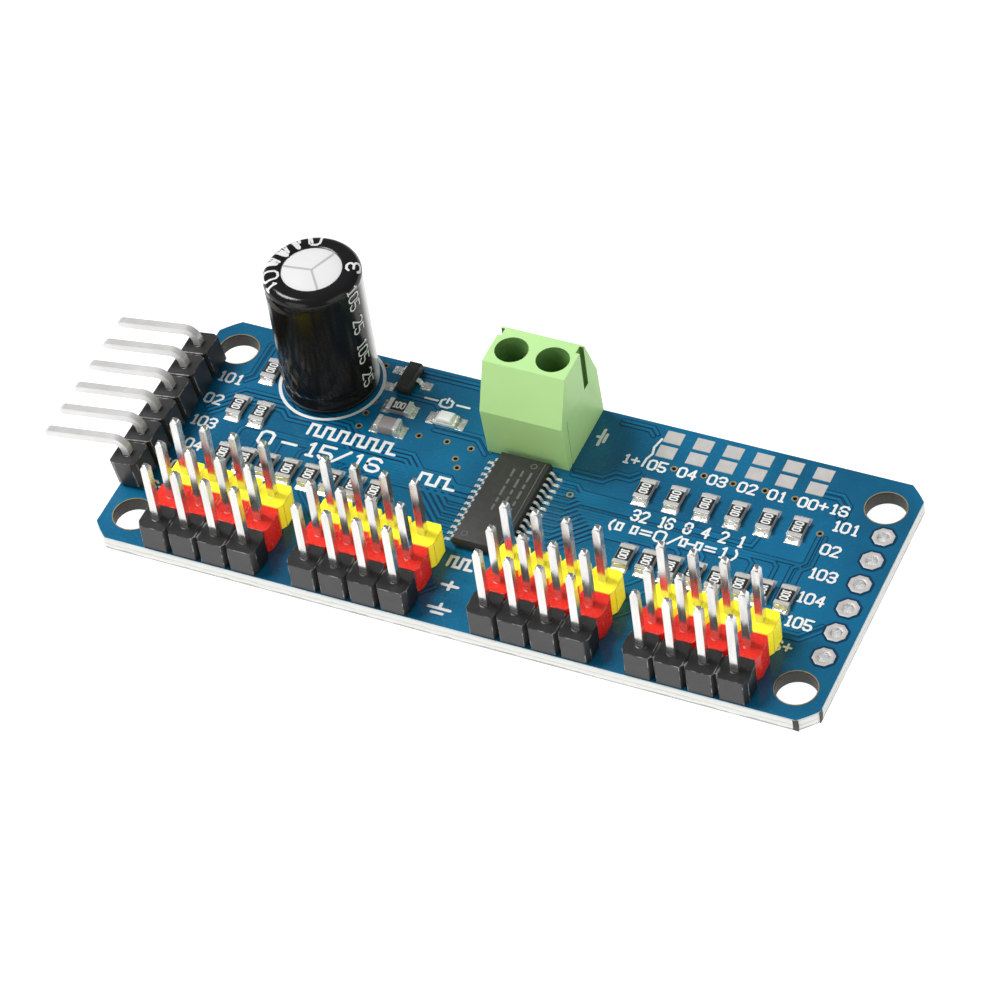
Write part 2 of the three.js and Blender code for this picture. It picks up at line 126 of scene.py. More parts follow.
def spread(tree, factor, low, high):
    """Widens the middle of a noise so that it runs from low to high."""
    inputs = {"Value": factor, "From Min": 0.3, "From Max": 0.7, "To Min": low, "To Max": high}
    return add_node(tree, "MapRange", inputs).outputs["Result"]


def dress(tree, shader, colour, grain, rough, relief, depth):
    """Gives a shader its colour, and a roughness and a relief that both follow the grain."""
    tree.links.new(colour, shader.inputs["Base Color"])
    tree.links.new(spread(tree, grain, *rough), shader.inputs["Roughness"])
    bump = add_node(tree, "Bump", {"Strength": relief, "Distance": depth * MM, "Height": grain})
    tree.links.new(bump.outputs["Normal"], shader.inputs["Normal"])


def calculate(tree, operation, first, second):
    return add_node(tree, "Math", {0: first, 1: second}, operation=operation).outputs[0]


def surface(name, colour, *, shade=0.85, patches=900, grain=6000, rough=(0.35, 0.5), metallic=0.0,
            specular=0.5, relief=0.2, depth=0.02, glow=0.0, stretch=None):
    """A moulded, plated or painted surface: cloudy colour, uneven gloss and a fine grain.

    glow is painted light: emission in the surface's own colour that brightens it as though lit, standing in
    for light scattered inside a translucent plastic.
    """
    material, tree, shader, place = node_tree(name)
    clouds = noise(tree, place, patches, stretch=stretch)
    fine = noise(tree, place, grain, detail=3.0, stretch=stretch)
    darker = tuple(c * shade for c in colour)
    cloudy = ramp(tree, clouds, [(0.3, darker), (0.7, colour)])
    dress(tree, shader, cloudy, fine, rough, relief, depth)
    # Painted glow: the surface gives off its own cloudy colour as emission, though it is no lamp.
    if glow:
        tree.links.new(cloudy, shader.inputs["Emission Color"])
        shader.inputs["Emission Strength"].default_value = glow
    shader.inputs["Metallic"].default_value = metallic
    shader.inputs["Specular IOR Level"].default_value = specular
    return material


def worn_and_highlit(name, colour, scuff_and_highlight):
    """The edges of a moulding, paler in patches: partly rubbed wear, partly a painted highlight along the
    edges.
    """
    material, tree, shader, place = node_tree(name)
    patches = noise(tree, place, 1300, detail=5.0)
    blend = ramp(tree, patches, [(0.48, colour), (0.62, scuff_and_highlight)])
    dress(tree, shader, blend, patches, (0.25, 0.5), 0.3, 0.02)
    return material


def banded_film(name, x, y, start, end, soft):
    """Glossy black film with a pale band printed between two angles, in degrees, round an upright axis."""
    material, tree, shader, place = node_tree(name)
    split = add_node(tree, "SeparateXYZ", {"Vector": place}).outputs
    across = calculate(tree, "SUBTRACT", split["X"], x * MM)
    along = calculate(tree, "SUBTRACT", split["Y"], y * MM)
    angle = calculate(tree, "ARCTAN2", along, across)
    turn = add_node(tree, "MapRange", {"Value": angle, "From Min": -math.pi, "From Max": math.pi})
    black, pale = (0.009, 0.0075, 0.006), (0.80, 0.80, 0.80)
    stops = [(start, black), (start + soft, pale), (end - soft, pale), (end, black)]
    band = ramp(tree, turn.outputs["Result"], [((degrees + 180) / 360, colour) for degrees, colour in stops])
    folds = noise(tree, place, 900, detail=3.0, stretch=(1, 1, 0.3))
    dress(tree, shader, band, folds, (0.13, 0.24), 0.4, 0.04)
    shader.inputs["Specular IOR Level"].default_value = 0.2
    return material


def laminate(name):
    """Cut edge of glass-fibre board: pale, with thin darker layers."""
    material, tree, shader, place = node_tree(name)
    height = add_node(tree, "SeparateXYZ", {"Vector": place}).outputs["Z"]
    inputs = {"Value": height, "From Max": TOP * MM, "To Min": -0.08, "To Max": 0.92}
    share = add_node(tree, "MapRange", inputs).outputs["Result"]
    ragged = noise(tree, place, 1400, stretch=(0.4, 0.4, 1.5))
    level = calculate(tree, "ADD", share, spread(tree, ragged, 0.0, 0.16))
    layers = [(0.0, (0.36, 0.36, 0.34)), (0.13, (0.48, 0.48, 0.46)), (0.2, (0.88, 0.88, 0.85)),
              (0.42, (0.80, 0.80, 0.77)), (0.5, (0.64, 0.64, 0.60)), (0.58, (0.84, 0.84, 0.80)),
              (0.85, (0.78, 0.79, 0.76)), (1.0, (0.62, 0.66, 0.66))]
    colour = ramp(tree, level, layers)
    fibres = noise(tree, place, 5000, stretch=(0.3, 0.3, 2.0))
    dress(tree, shader, colour, fibres, (0.5, 0.8), 0.5, 0.05)
    return material


MASK = surface("blue_mask", (0.004, 0.168, 0.342), shade=0.46, patches=70, grain=2500, rough=(0.2, 0.3),
               specular=0.4, relief=0.03)
MASK_COPPER = surface("blue_mask_on_copper", (0.006, 0.188, 0.372), shade=0.54, patches=90, grain=2500,
                      rough=(0.18, 0.28), specular=0.4, relief=0.03)
MASK_GAP = surface("blue_mask_in_gaps", (0.0015, 0.038, 0.100), shade=0.8, patches=100, grain=2500,
                   rough=(0.25, 0.4), specular=0.3, relief=0.03)
EDGE = laminate("glass_fibre_edge")
HOLE_WALL = surface("drilled_wall", (0.045, 0.042, 0.030), shade=0.5, patches=1500, rough=(0.4, 0.7),
                    relief=0.5, depth=0.05, stretch=(1, 1, 4))
BRASSY = surface("bare_rim", (0.42, 0.34, 0.18), shade=0.6, patches=2000, rough=(0.3, 0.5), metallic=0.3)
INK = surface("white_ink", (0.88, 0.90, 0.90), shade=0.9, patches=2500, rough=(0.4, 0.55), relief=0.3)
PAD = surface("tinned_pad", (0.62, 0.60, 0.58), shade=0.88, patches=1400, grain=4000, metallic=0.15,
              relief=0.3)
SOLDER = surface("solder", (0.94, 0.93, 0.91), shade=0.6, patches=2600, grain=2600, rough=(0.14, 0.34),
                 metallic=0.65, relief=0.9, depth=0.10)
TIN = surface("bright_tin", (0.80, 0.79, 0.77), shade=0.8, patches=1100, grain=3000, rough=(0.12, 0.26),
              metallic=0.95, relief=0.10, depth=0.01, stretch=(1, 1, 0.2))
PIN_TIN = surface("dull_tin", (0.80, 0.795, 0.78), shade=0.9, patches=500, grain=1500, rough=(0.34, 0.42),
                  metallic=0.55, specular=0.3, relief=0.02, depth=0.01)
SATIN_TIN = surface("satin_tin", (0.92, 0.91, 0.89), shade=0.88, patches=700, grain=1500, rough=(0.2, 0.3),
                    metallic=0.5, relief=0.04, depth=0.01)
BLACK = surface("black_nylon", (0.018, 0.018, 0.0175), shade=0.6, patches=1000, grain=5000, rough=(0.3, 0.42),
                specular=0.6)
# Paler copies for the rounded edges of the housings: partly rubbed wear, partly a painted edge highlight.
BLACK_EDGE_WEAR_AND_HIGHLIGHT = worn_and_highlit("black_nylon_edge_wear_and_highlight", (0.015, 0.015, 0.014), (0.30, 0.30, 0.29))
# Painted glow: emission that brightens the red plastic as though lit.
RED = surface("red_nylon", (0.90, 0.030, 0.016), shade=0.88, patches=700, grain=2600, rough=(0.2, 0.34),
              depth=0.03, glow=0.12)
RED_EDGE_WEAR_AND_HIGHLIGHT = worn_and_highlit("red_nylon_edge_wear_and_highlight", (0.80, 0.025, 0.018), (0.95, 0.24, 0.18))
# Painted glow: emission that brightens the yellow plastic as though lit.
YELLOW = surface("yellow_nylon", (1.0, 0.87, 0.035), shade=0.95, patches=700, grain=2600, rough=(0.2, 0.36),
                 specular=0.4, depth=0.03, glow=0.36)
YELLOW_EDGE_WEAR_AND_HIGHLIGHT = worn_and_highlit("yellow_nylon_edge_wear_and_highlight", (0.98, 0.80, 0.03), (1.0, 0.90, 0.30))
# Painted glow: a faint emission that brightens the green plastic as though lit.
GREEN = surface("green_nylon", (0.50, 0.81, 0.33), shade=0.96, patches=300, grain=5000, rough=(0.4, 0.52),
                specular=0.3, relief=0.12, glow=0.07)
# Painted shade: a darker green for the faces inside the terminal's screw bores and side slots.
GREEN_RECESS_SHADE = surface("green_nylon_painted_recess_shade", (0.15, 0.32, 0.085), shade=0.7, rough=(0.4, 0.55), specular=0.3)
STEEL = surface("zinc_steel", (0.60, 0.60, 0.58), shade=0.8, patches=1500, rough=(0.25, 0.4), metallic=1.0)
FILM_TOP = surface("black_film_shoulder", (0.009, 0.009, 0.010), shade=0.8, rough=(0.11, 0.2), specular=0.3)
FILM_PRINT = surface("pale_print", (0.80, 0.80, 0.80), shade=0.92, rough=(0.25, 0.4))
ALUMINIUM = surface("can_top", (0.80, 0.80, 0.80), shade=0.96, patches=500, grain=4000, rough=(0.5, 0.62),
                    specular=0.2, relief=0.12)
SCORE = surface("score_line", (0.52, 0.52, 0.52), shade=0.9, patches=2000, rough=(0.5, 0.7), specular=0.2)
RUBBER = surface("seal_rubber", (0.03, 0.03, 0.03), rough=(0.7, 0.9), relief=0.5)
MOULD = surface("chip_moulding", (0.034, 0.034, 0.032), shade=0.72, patches=1800, grain=7000,
                rough=(0.42, 0.6), specular=0.4, relief=0.35)
FAINT = surface("laser_mark", (0.13, 0.13, 0.125), shade=0.8, patches=3000, rough=(0.6, 0.8))
GLAZE = surface("black_overglaze", (0.014, 0.014, 0.013), shade=0.7, patches=2500, relief=0.3, specular=0.4)
ALUMINA = surface("alumina", (0.42, 0.41, 0.39), shade=0.8, patches=2500, rough=(0.45, 0.65), relief=0.5)
CERAMIC = surface("capacitor_ceramic", (0.40, 0.36, 0.36), patches=2000)
LENS = surface("milky_lens", (0.97, 0.97, 0.95), shade=0.93, patches=1500, rough=(0.3, 0.45), specular=0.3)


# ---------- geometry ----------
def rectangle(x, y, half_width, half_depth, z):
    """The corners of a level rectangle, given its middle."""
    west, east, south, north = x - half_width, x + half_width, y - half_depth, y + half_depth
    return [(west, south, z), (east, south, z), (east, north, z), (west, north, z)]


class Shape:
    """Faces in millimetres, gathered until they become one object."""

    def __init__(self):
        self.points = []
        self.faces = []
        self.paints = []

    def add(self, points, faces, paint=0):
        start = len(self.points)
        self.points.extend(Vector(point) for point in points)
        self.faces.extend([start + i for i in face] for face in faces)
        self.paints.extend([paint] * len(faces))

    def loft(self, levels, paint=0, closed=True):
        """Stacks outlines of the same number of points, counter-clockwise seen from above."""
        count = len(levels[0])
        points = [point for level in levels for point in level]
        faces = []
        for row in range(len(levels) - 1):
            base = row * count
            for i in range(count):
                j = (i + 1) % count
                faces.append([base + i, base + j, base + count + j, base + count + i])
        if closed:
            faces.append(list(range(count))[::-1])
            faces.append([len(points) - count + i for i in range(count)])
        self.add(points, faces, paint)

    def block(self, x, y, width, depth, bottom, top, paint=0, draft=0.0):
        """A box on a centre line; draft draws its top in."""
        self.loft([rectangle(x, y, width / 2 - inset_by, depth / 2 - inset_by, z)
                   for inset_by, z in ((0, bottom), (draft, top))], paint)

    def run_y(self, outline, y, width, paint=0, side=1):
        """Runs an outline in X and Z along Y. From -Y it goes counter-clockwise, or clockwise for side -1."""
        near = [(x, y - width / 2, z) for x, z in outline[::side]]
        far = [(x, y + width / 2, z) for x, z in outline[::side]]
        self.loft([far, near], paint)

    def lathe(self, profile, x, y, sides, paint=0, warp=None):
        """Turns (radius, z) points, from the bottom up the outside.

        paint may be a function of the row, and warp one of angle and z that adds to the radius.
        """
        rings = []
        points = []
        for radius, z in profile:
            if radius < 1e-6:
                rings.append([len(points)] * sides)
                points.append((x, y, z))
                continue
            rings.append(list(range(len(points), len(points) + sides)))
            for i in range(sides):
                angle = 2 * math.pi * i / sides
                r = radius + (warp(angle, z) if warp else 0.0)
                points.append((x + r * math.cos(angle), y + r * math.sin(angle), z))
        first = len(self.points)
        self.add(points, [])
        for row, (lower, upper) in enumerate(zip(rings, rings[1:])):
            for i in range(sides):
                j = (i + 1) % sides
                face = list(dict.fromkeys([lower[i], lower[j], upper[j], upper[i]]))
                if len(face) > 2:
                    self.faces.append([first + k for k in face])
                    self.paints.append(paint(row) if callable(paint) else paint)

    def moved(self, matrix):
        self.points = [matrix @ point for point in self.points]
        return self


def finish_mesh(mesh, bevel, steps, sharp, smooth, edge_paint=-1):
    """Rounds the sharp edges of a mesh and shades it; bevel is in millimetres, angles in degrees."""
    work = bmesh.new()
    work.from_mesh(mesh)
    bmesh.ops.remove_doubles(work, verts=work.verts, dist=1e-7)
    if bevel:
        limit = math.radians(sharp)
        edges = [e for e in work.edges if len(e.link_faces) == 2 and e.calc_face_angle(0) > limit]
        bmesh.ops.bevel(work, geom=edges, offset=bevel * MM, segments=steps, profile=0.5, affect="EDGES",
                        clamp_overlap=True, material=edge_paint)
    for face in work.faces:
        face.smooth = True
    work.to_mesh(mesh)
    work.free()
    mesh.set_sharp_from_angle(angle=math.radians(smooth))


def add_object(name, data):
    thing = bpy.data.objects.new(name, data)
    bpy.context.scene.collection.objects.link(thing)
    return thing


def set_surfaces(mesh, surfaces):
    mesh.materials.clear()
    for material in surfaces:
        mesh.materials.append(material)


def attach(name, mesh, body, replaces):
    """Makes a piece of a mesh: it rides on a body and stands for the nodes that it replaces."""
    piece = add_object(name, mesh)
    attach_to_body(piece, body)
    if replaces:
        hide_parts(*replaces)
    return piece


def shift(x, y, z=0):
    return Matrix.Translation((x, y, z))


def turned(degrees, axis="Z"):
    return Matrix.Rotation(math.radians(degrees), 4, axis)


SHARP_EDGE, SHARP_CAD_EDGE = 30, 28  # degrees between two faces from which their edge is rounded


def make(name, shape, surfaces, *, bevel=0.0, steps=2, smooth=35, edge_paint=-1, replaces=()):
    """Makes a piece of a shape, fixed to the board."""
    mesh = bpy.data.meshes.new(name)
    mesh.from_pydata([point * MM for point in shape.points], [], shape.faces)
    set_surfaces(mesh, surfaces)
    mesh.polygons.foreach_set("material_index", shape.paints)
    finish_mesh(mesh, bevel, steps, SHARP_EDGE, smooth, edge_paint)
    return attach(name, mesh, "board", replaces)


def softened(name, node, surfaces, bevel, steps=2, smooth=35, paint=None):
    """A copy of a CAD node with rounded edges and its own finish, which stands for the node."""
    mesh = frame["nodes"][node].data.copy()
    mesh.name = name
    set_surfaces(mesh, surfaces)
    work = bmesh.new()
    work.from_mesh(mesh)
    bmesh.ops.remove_doubles(work, verts=work.verts, dist=1e-7)
    bmesh.ops.dissolve_limit(work, angle_limit=math.radians(1), verts=work.verts, edges=work.edges)
    for face in work.faces:
        face.material_index = paint(face.calc_center_median() / MM) if paint else 0
    work.to_mesh(mesh)
    work.free()
    finish_mesh(mesh, bevel, steps, SHARP_CAD_EDGE, smooth)
    return attach(name, mesh, frame["nodes"][node]["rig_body"], (node,))


def circle(x, y, radius, sides, start=0.0):
    turn = [start + 2 * math.pi * i / sides for i in range(sides)]
    return [(x + radius * math.cos(a), y + radius * math.sin(a)) for a in turn]


def mitred(points, distance, closed, least=0.0):
    """Moves a line of points to its left so that its legs stay parallel. A closed line ends where it starts.

    least is the least cosine that a corner is mitred by, which keeps sharp corners short.
    """
    legs = [(after - before).normalized() for before, after in zip(points, points[1:])]
    first, last = (legs[-1], legs[0]) if closed else (legs[0], legs[-1])
    moved = []
    for point, into, out in zip(points, [first] + legs, legs + [last]):
        normal = Vector((-into.y - out.y, into.x + out.x)).normalized()
        reach = distance / max(least, normal.dot(Vector((-out.y, out.x))))
        moved.append(point + normal * reach)
    return moved


def inset(loop, distance):
    """Moves a counter-clockwise outline inwards by a distance, or outwards if it is negative."""
    return mitred([Vector(point) for point in loop + loop[:1]], distance, True, 0.3)[:-1]


def plate(shape, outer, holes, bottom, top, lip, wall_paint):
    """A flat plate with holes, its rims drawn in by lip. Each hole is (outline, paint of its wall)."""
    for z, low in ((top, False), (bottom, True)):
        loops = [inset(outer, lip)] + [inset(loop, -lip) for loop, _ in holes]
        flat = [Vector((x, y, z)) for loop in loops for x, y in loop]
        triangles = []
        for a, b, c in tessellate_polygon([[Vector((x, y, 0)) for x, y in loop] for loop in loops]):
            up = (flat[b] - flat[a]).cross(flat[c] - flat[a]).z > 0
            triangles.append([a, b, c] if up != low else [a, c, b])
        shape.add(flat, triangles)
    for loop, paint, side in [(outer, wall_paint, 1)] + [(loop, paint, -1) for loop, paint in holes]:
        levels = [(inset(loop, side * lip), bottom), (loop, bottom + lip), (loop, top - lip),
                  (inset(loop, side * lip), top)]
        levels = [[(x, y, z) for x, y in line] for line, z in levels]
        if side < 0:
            levels.reverse()
        shape.loft(levels, paint, closed=False)


SHARPEST_TURN = 100  # degrees that a ribbon may turn at one point
LIFT_STEP = 0.001  # each ribbon lies this much above the last, so that none share a plane
LIFTS = 12
END_SIDES = 4  # of the half circle at the end of a ribbon


def split_at_corners(line):
    """Cuts a line of points into runs that turn gently, so that each can be one mitred ribbon."""
    points = [Vector(line[0])]
    for point in line[1:]:
        if (Vector(point) - points[-1]).length > 1e-5:
            points.append(Vector(point))
    runs = [[points[0]]]
    for i in range(1, len(points)):
        runs[-1].append(points[i])
        if i + 1 < len(points):
            turn = (points[i] - points[i - 1]).angle(points[i + 1] - points[i])
            if turn > math.radians(SHARPEST_TURN):
                runs.append([points[i]])
    return [run for run in runs if len(run) > 1]


def strokes(shape, lines, width, lay, paint=0):
    """Makes each line of (u, v) points a flat round-ended ribbon, laid on a surface by lay(u, v, lift)."""
    half = width / 2
    runs = [run for line in lines for run in split_at_corners(line)]
    for number, run in enumerate(runs):
        lift = LIFT_STEP * (number % LIFTS)
        closed = len(run) > 3 and (run[0] - run[-1]).length < 1e-5
        left, right = mitred(run, half, closed), mitred(run, -half, closed)
        flat = [point for pair in zip(left, right) for point in pair]
        faces = [[2 * i + 1, 2 * i + 3, 2 * i + 2, 2 * i] for i in range(len(run) - 1)]
        if not closed:
            for end, towards, first, second in ((run[0], run[1], left[0], right[0]),
                                                (run[-1], run[-2], right[-1], left[-1])):
                away = math.atan2(end.y - towards.y, end.x - towards.x)
                spots = [away + math.pi * (k / END_SIDES - 0.5) for k in range(1, END_SIDES)]
                start = len(flat)
                flat.append(first)
                flat += [end + Vector((math.cos(a), math.sin(a))) * half for a in spots]
                flat.append(second)
                faces.append(list(range(start, len(flat))))
        shape.add([lay(u, v, lift) for u, v in flat], faces, paint)


def flat_at(z):
    return lambda u, v, lift: (u, v, z + lift)


# Digits and signs on a grid four wide and six high: lines separated by commas, two figures to a point.
GLYPHS = {
    "0": "10 30 41 45 36 16 05 01 10",
    "1": "15 26 20,10 30",
    "2": "05 16 36 45 44 00 40",
    "3": "05 16 36 45 44 33 42 41 30 10 01,13 33",
    "4": "30 36 02 42",
    "5": "46 06 03 33 42 41 30 10 01",
    "6": "45 36 16 05 01 10 30 41 42 33 03",
    "8": "13 04 05 16 36 45 44 33 42 41 30 10 01 02 13 33",
    "+": "21 25,03 43",
    "-": "03 43",
    "=": "02 42,04 44",
    "/": "00 46",
    "wave": "00 05 25 20 40 45 65 60 80",
    "ground": "26 24,04 44,12 32",
    "open": "01 21 25 05 01,61 81 85 65 61",
    "closed": "01 21 25 05 01,61 81 85 65 61,23 63",
    "power": "15 04 01 10 30 41 44 35,26 23",
    "(": "36 24 22 30",
    ")": "16 24 22 10",
    " ": "",
}
WIDE = {"wave": 8, "open": 8, "closed": 8, "(": 3, ")": 3, "/": 3, "1": 3}  # the others are 4 wide
GAP = 1.7
CURVE_STEP = 0.12  # between the points of a line that follows a curved surface


def glyph_lines(name):
    lines = [line.split() for line in GLYPHS[name].split(",") if line.strip()]
    return [[(float(u), float(v)) for u, v in line] for line in lines]


def finer(lines):
    """The same lines with extra points, so that they can follow a curved surface."""
    result = []
    for line in lines:
        points = [line[0]]
        for (u, v), (s, t) in zip(line, line[1:]):
            parts = max(1, math.ceil(math.hypot(s - u, t - v) / CURVE_STEP))
            points += [(u + (s - u) * k / parts, v + (t - v) * k / parts) for k in range(1, parts + 1)]
        result.append(points)
    return result


def legend(names, left, base, height, *, width=0.62, turn=0.0, gap=GAP):
    """Lines for a row of glyphs. width is a glyph's width as a share of its height; turn is in degrees."""
    rise = height / 6
    run = width * height / 4
    cos, sin = math.cos(math.radians(turn)), math.sin(math.radians(turn))
    lines = []
    start = 0.0
    for name in names:
        for line in glyph_lines(name):
            spots = [((u + start) * run, v * rise) for u, v in line]
            lines.append([(left + u * cos - v * sin, base + u * sin + v * cos) for u, v in spots])
        start += WIDE.get(name, 4) + gap
    return lines


# ---------- circuit board ----------
CORNER, CORNER_PULL = 1.45, 0.45
PITCH = 2.54
BLOCKS = (1, 2, 3, 4)
ROWS = ("ground", "power", "signal")
CHANNELS = range(4)
PIN = 0.64
TAIL = -box_mm("servo_header_1_ground")[0].z
# Heights of the layers on the board; the tracks and the ink are LIFTS steps thick.
TRACK_Z, COPPER_Z, RIM_Z, INK_Z, PAD_Z = TOP + 0.004, TOP + 0.018, TOP + 0.032, TOP + 0.036, TOP + 0.05
MOUNTING = [(sx * 27.94, sy * 9.525) for sx in (-1, 1) for sy in (-1, 1)]
MOUNTING_RADIUS = 1.6
SPARE_HOLES = [(28.8, 0.3 + PITCH * (2.5 - i)) for i in range(6)]
VIAS = [(-14.97, 6.24), (-14.9, 4.76), (-9.85, 5.26), (-7.44, 5.36), (-5.31, 5.26), (-6.04, 3.88),
        (-5.53, 3.03), (-14.87, 7.55), (-15.64, 11.51), (4.11, 3.17), (24.06, 5.45), (10.79, 8.26),
        (13.3, 8.3), (15.77, 8.22), (18.4, 8.31), (20.92, 8.25)]
VIA_RADIUS, SPARE_RADIUS = 0.17, 0.5
JUMPER_X, JUMPER_PITCH = 9.57, 2.515
TRACK_WIDTH, TRACK_GAP = 0.26, 0.18


def board_outline():
    """The board seen from above, counter-clockwise, each corner cut by a shallow curve."""
    points = []
    for sx, sy in ((1, 1), (-1, 1), (-1, -1), (1, -1)):
        x, y = sx * LENGTH / 2, sy * WIDTH / 2
        start, end = Vector((x, y - sy * CORNER)), Vector((x - sx * CORNER, y))
        pull = Vector((x - sx * CORNER_PULL * CORNER, y - sy * CORNER_PULL * CORNER))
        curve = []
        for i in range(9):
            t = i / 8
            curve.append(tuple(start * (1 - t) ** 2 + pull * 2 * t * (1 - t) + end * t ** 2))
        points.extend(curve if sx * sy > 0 else curve[::-1])
    return points


def build_board():
    shape = Shape()
    holes = [(circle(x, y, MOUNTING_RADIUS, 64), 2) for x, y in MOUNTING]
    holes += [(circle(x, y, SPARE_RADIUS, 24), 3) for x, y in SPARE_HOLES]
    holes += [(circle(x, y, VIA_RADIUS, 12), 2) for x, y in VIAS]
    plate(shape, board_outline(), holes, 0, TOP, lip=0.04, wall_paint=1)
    make("board_plate", shape, [MASK, EDGE, HOLE_WALL, SOLDER], replaces=("circuit_board",))


def ring(shape, x, y, inner, outer, z, sides, start=0.0):
    """A flat ring. It faces up, or down if it lies below the middle of the board."""
    inside, outside = circle(x, y, inner, sides, start), circle(x, y, outer, sides, start)
    points = [(u, v, z) for u, v in inside + outside]
    faces = [[i, sides + i, sides + (i + 1) % sides, (i + 1) % sides] for i in range(sides)]
    if z < TOP / 2:
        faces = [face[::-1] for face in faces]
    shape.add(points, faces)


def build_pads():
    """Bare rims, octagonal pads of the spare holes, jumper pads and via rims."""
    rims = Shape()
    for spots, inner, outer, sides in ((MOUNTING, MOUNTING_RADIUS + 0.03, MOUNTING_RADIUS + 0.12, 64),
                                       (VIAS, VIA_RADIUS, VIA_RADIUS + 0.13, 16)):
        for x, y in spots:
            for z in (RIM_Z, TOP - RIM_Z):
                ring(rims, x, y, inner, outer, z, sides)
    make("hole_rims", rims, [BRASSY])
    halos, pads = Shape(), Shape()
    octagon = math.pi / 8
    for x, y in SPARE_HOLES:
        for z, lift in ((TOP, 1), (0, -1)):
            ring(halos, x, y, 0.6, 1.12, z + lift * (RIM_Z - TOP), 8, start=octagon)
            pads.loft([[(u, v, z + lift * h) for u, v in circle(x, y, r, 8, octagon)][::lift]
                       for r, h in ((0.94, 0.0), (0.92, 0.04), (0.86, 0.055), (0.62, 0.055),
                                    (SPARE_RADIUS, 0.01))],
                      closed=False)
    make("pad_halos", halos, [MASK_GAP])
    make("spare_header_pads", pads, [PAD], smooth=50)
    jumpers = Shape()
    for i in range(6):
        for y in (11.32, 9.73):
            jumpers.block(JUMPER_X + JUMPER_PITCH * i, y, 1.5, 1.25, TOP, PAD_Z, draft=0.015)
    make("address_jumper_pads", jumpers, [PAD])


def bus(points, count, pitch):
    """Parallel lines beside a first one, on its left, or on its right if the pitch is negative."""
    first = [Vector(point) for point in points]
    return [mitred(first, k * pitch, False, 0.4) for k in range(count)]


def lead_levels(chip):
    """The heights along Y of the fourteen leads on a side of the driver chip."""
    return [chip.y + 0.65 * (i - 6.5) for i in range(14)]


def track_lines():
    """Middle lines of the tracks: chip to resistors, resistors to signal pins, and those in between."""
    lines = []
    chip = centre_mm("driver_chip")
    lead = lead_levels(chip)
    for side, first, start in ((-1, 8, 1), (1, 9, 1)):
        for k in range(8):
            number = first - k if side < 0 else first + k
            x = centre_mm(f"series_resistor_{number}").x
            start_y = lead[start + k]
            level = -0.05 + 0.29 * k
            turn_x = chip.x + side * 4.5
            rise = abs(level - start_y)
            lines.append([(chip.x + side * 3.1, start_y), (turn_x, start_y), (turn_x + side * rise, level),
                          (x - side * 0.4, level), (x, level - 0.4), (x, -0.6)])
    for j in range(5):
        x = centre_mm(f"address_resistor_{j + 1}").x
        level = 3.75 - 0.28 * j
        start_y = lead[13 - j]
        rise = abs(level - start_y)
        lines.append([(3.0, start_y), (4.3, start_y), (4.3 + rise, level), (x - 0.3, level), (x, 4.1)])
    for number in range(1, 17):
        x = centre_mm(f"series_resistor_{number}").x
        block, channel = divmod(number - 1, 4)
        pin = box_mm(f"servo_header_{block + 1}_signal")[0].x + PITCH * (channel + 0.5)
        lines.append([(x, -2.6), (x, -3.3), (pin, -3.3 - abs(pin - x)), (pin, -6.0)])
    for points, count, pitch in (
            ([(-27.9, 3.2), (-25.4, 5.6), (-21.0, 5.6), (-20.3, 4.9), (-15.6, 4.9), (-14.0, 3.3), (-9.4, 3.3),
              (-7.4, 1.3), (-3.6, 1.3)], 4, -0.42),
            ([(-25.9, 6.4), (-25.2, 7.1), (-25.2, 10.6), (-24.4, 11.4), (-20.0, 11.4)], 2, 0.5),
            ([(-13.2, 8.9), (-10.0, 8.9), (-9.6, 8.5)], 2, 0.4),
            ([(-14.0, 11.9), (-4.6, 11.9)], 2, -0.42),
            ([(-9.0, 6.2), (-5.2, 6.2), (-4.0, 5.0)], 2, 0.5),
            ([(22.95, 9.73), (24.4, 9.73), (25.3, 8.8), (25.3, 7.4)], 2, -0.5),
            ([(24.1, 5.2), (24.1, 2.3), (23.3, 1.5), (23.3, -2.4), (24.4, -3.5)], 2, 0.55),
            ([(24.9, -4.6), (26.2, -4.6), (27.6, -3.2)], 2, -0.5),
            ([(3.4, 5.2), (6.0, 5.2), (6.8, 6.0), (8.0, 6.0), (8.7, 6.7)], 2, 0.5),
            ([(5.0, 11.9), (7.6, 11.9), (8.2, 11.3)], 2, -0.4),
            ([(-6.2, -10.2), (-3.2, -10.2), (-1.9, -8.9)], 2, 0.5)):
        lines += bus(points, count, pitch)
    return lines


def build_tracks():
    above, below = Shape(), Shape()
    lines = track_lines()
    strokes(above, lines, TRACK_WIDTH + TRACK_GAP, flat_at(TRACK_Z), 0)
    strokes(above, lines, TRACK_WIDTH, flat_at(COPPER_Z), 1)
    make("board_tracks", above, [MASK_GAP, MASK_COPPER])
    thin = bus([(-27.9, 3.2), (-24.7, 0.0), (21.9, 0.0), (26.6, 4.7), (27.8, 4.7)], 6, -0.6)
    wide = [[(-24.6, y), (24.0, y)] for y in (-8.61, -11.15)]
    wide.append([(-17.3, 8.6), (-13.0, 8.6), (-11.4, 7.0), (-2.2, 7.0)])
    for lines, width in ((thin, TRACK_WIDTH), (wide, 1.9)):
        flipped = [[(-x, y) for x, y in line] for line in lines]
        strokes(below, flipped, width + TRACK_GAP, flat_below(TRACK_Z), 0)
        strokes(below, flipped, width, flat_below(COPPER_Z), 1)
    make("underside_tracks", below, [MASK_GAP, MASK_COPPER])


def flat_below(z):
    """Lays strokes on the underside, facing down, as deep below it as z is above the top."""
    return lambda u, v, lift: (-u, v, TOP - z - lift)


HEADER_MARKS = ("101", "02", "103", "104", "105", "6+")
BOLD, REGULAR = 0.27, 0.2  # widths of the printed lines
CAPACITOR_RING = 4.24  # radius of the printed ring
CAPACITOR_LEAD = 1.75  # from the capacitor's axis to a lead
CONTACT_THICK = 0.35  # of a terminal's contact strip


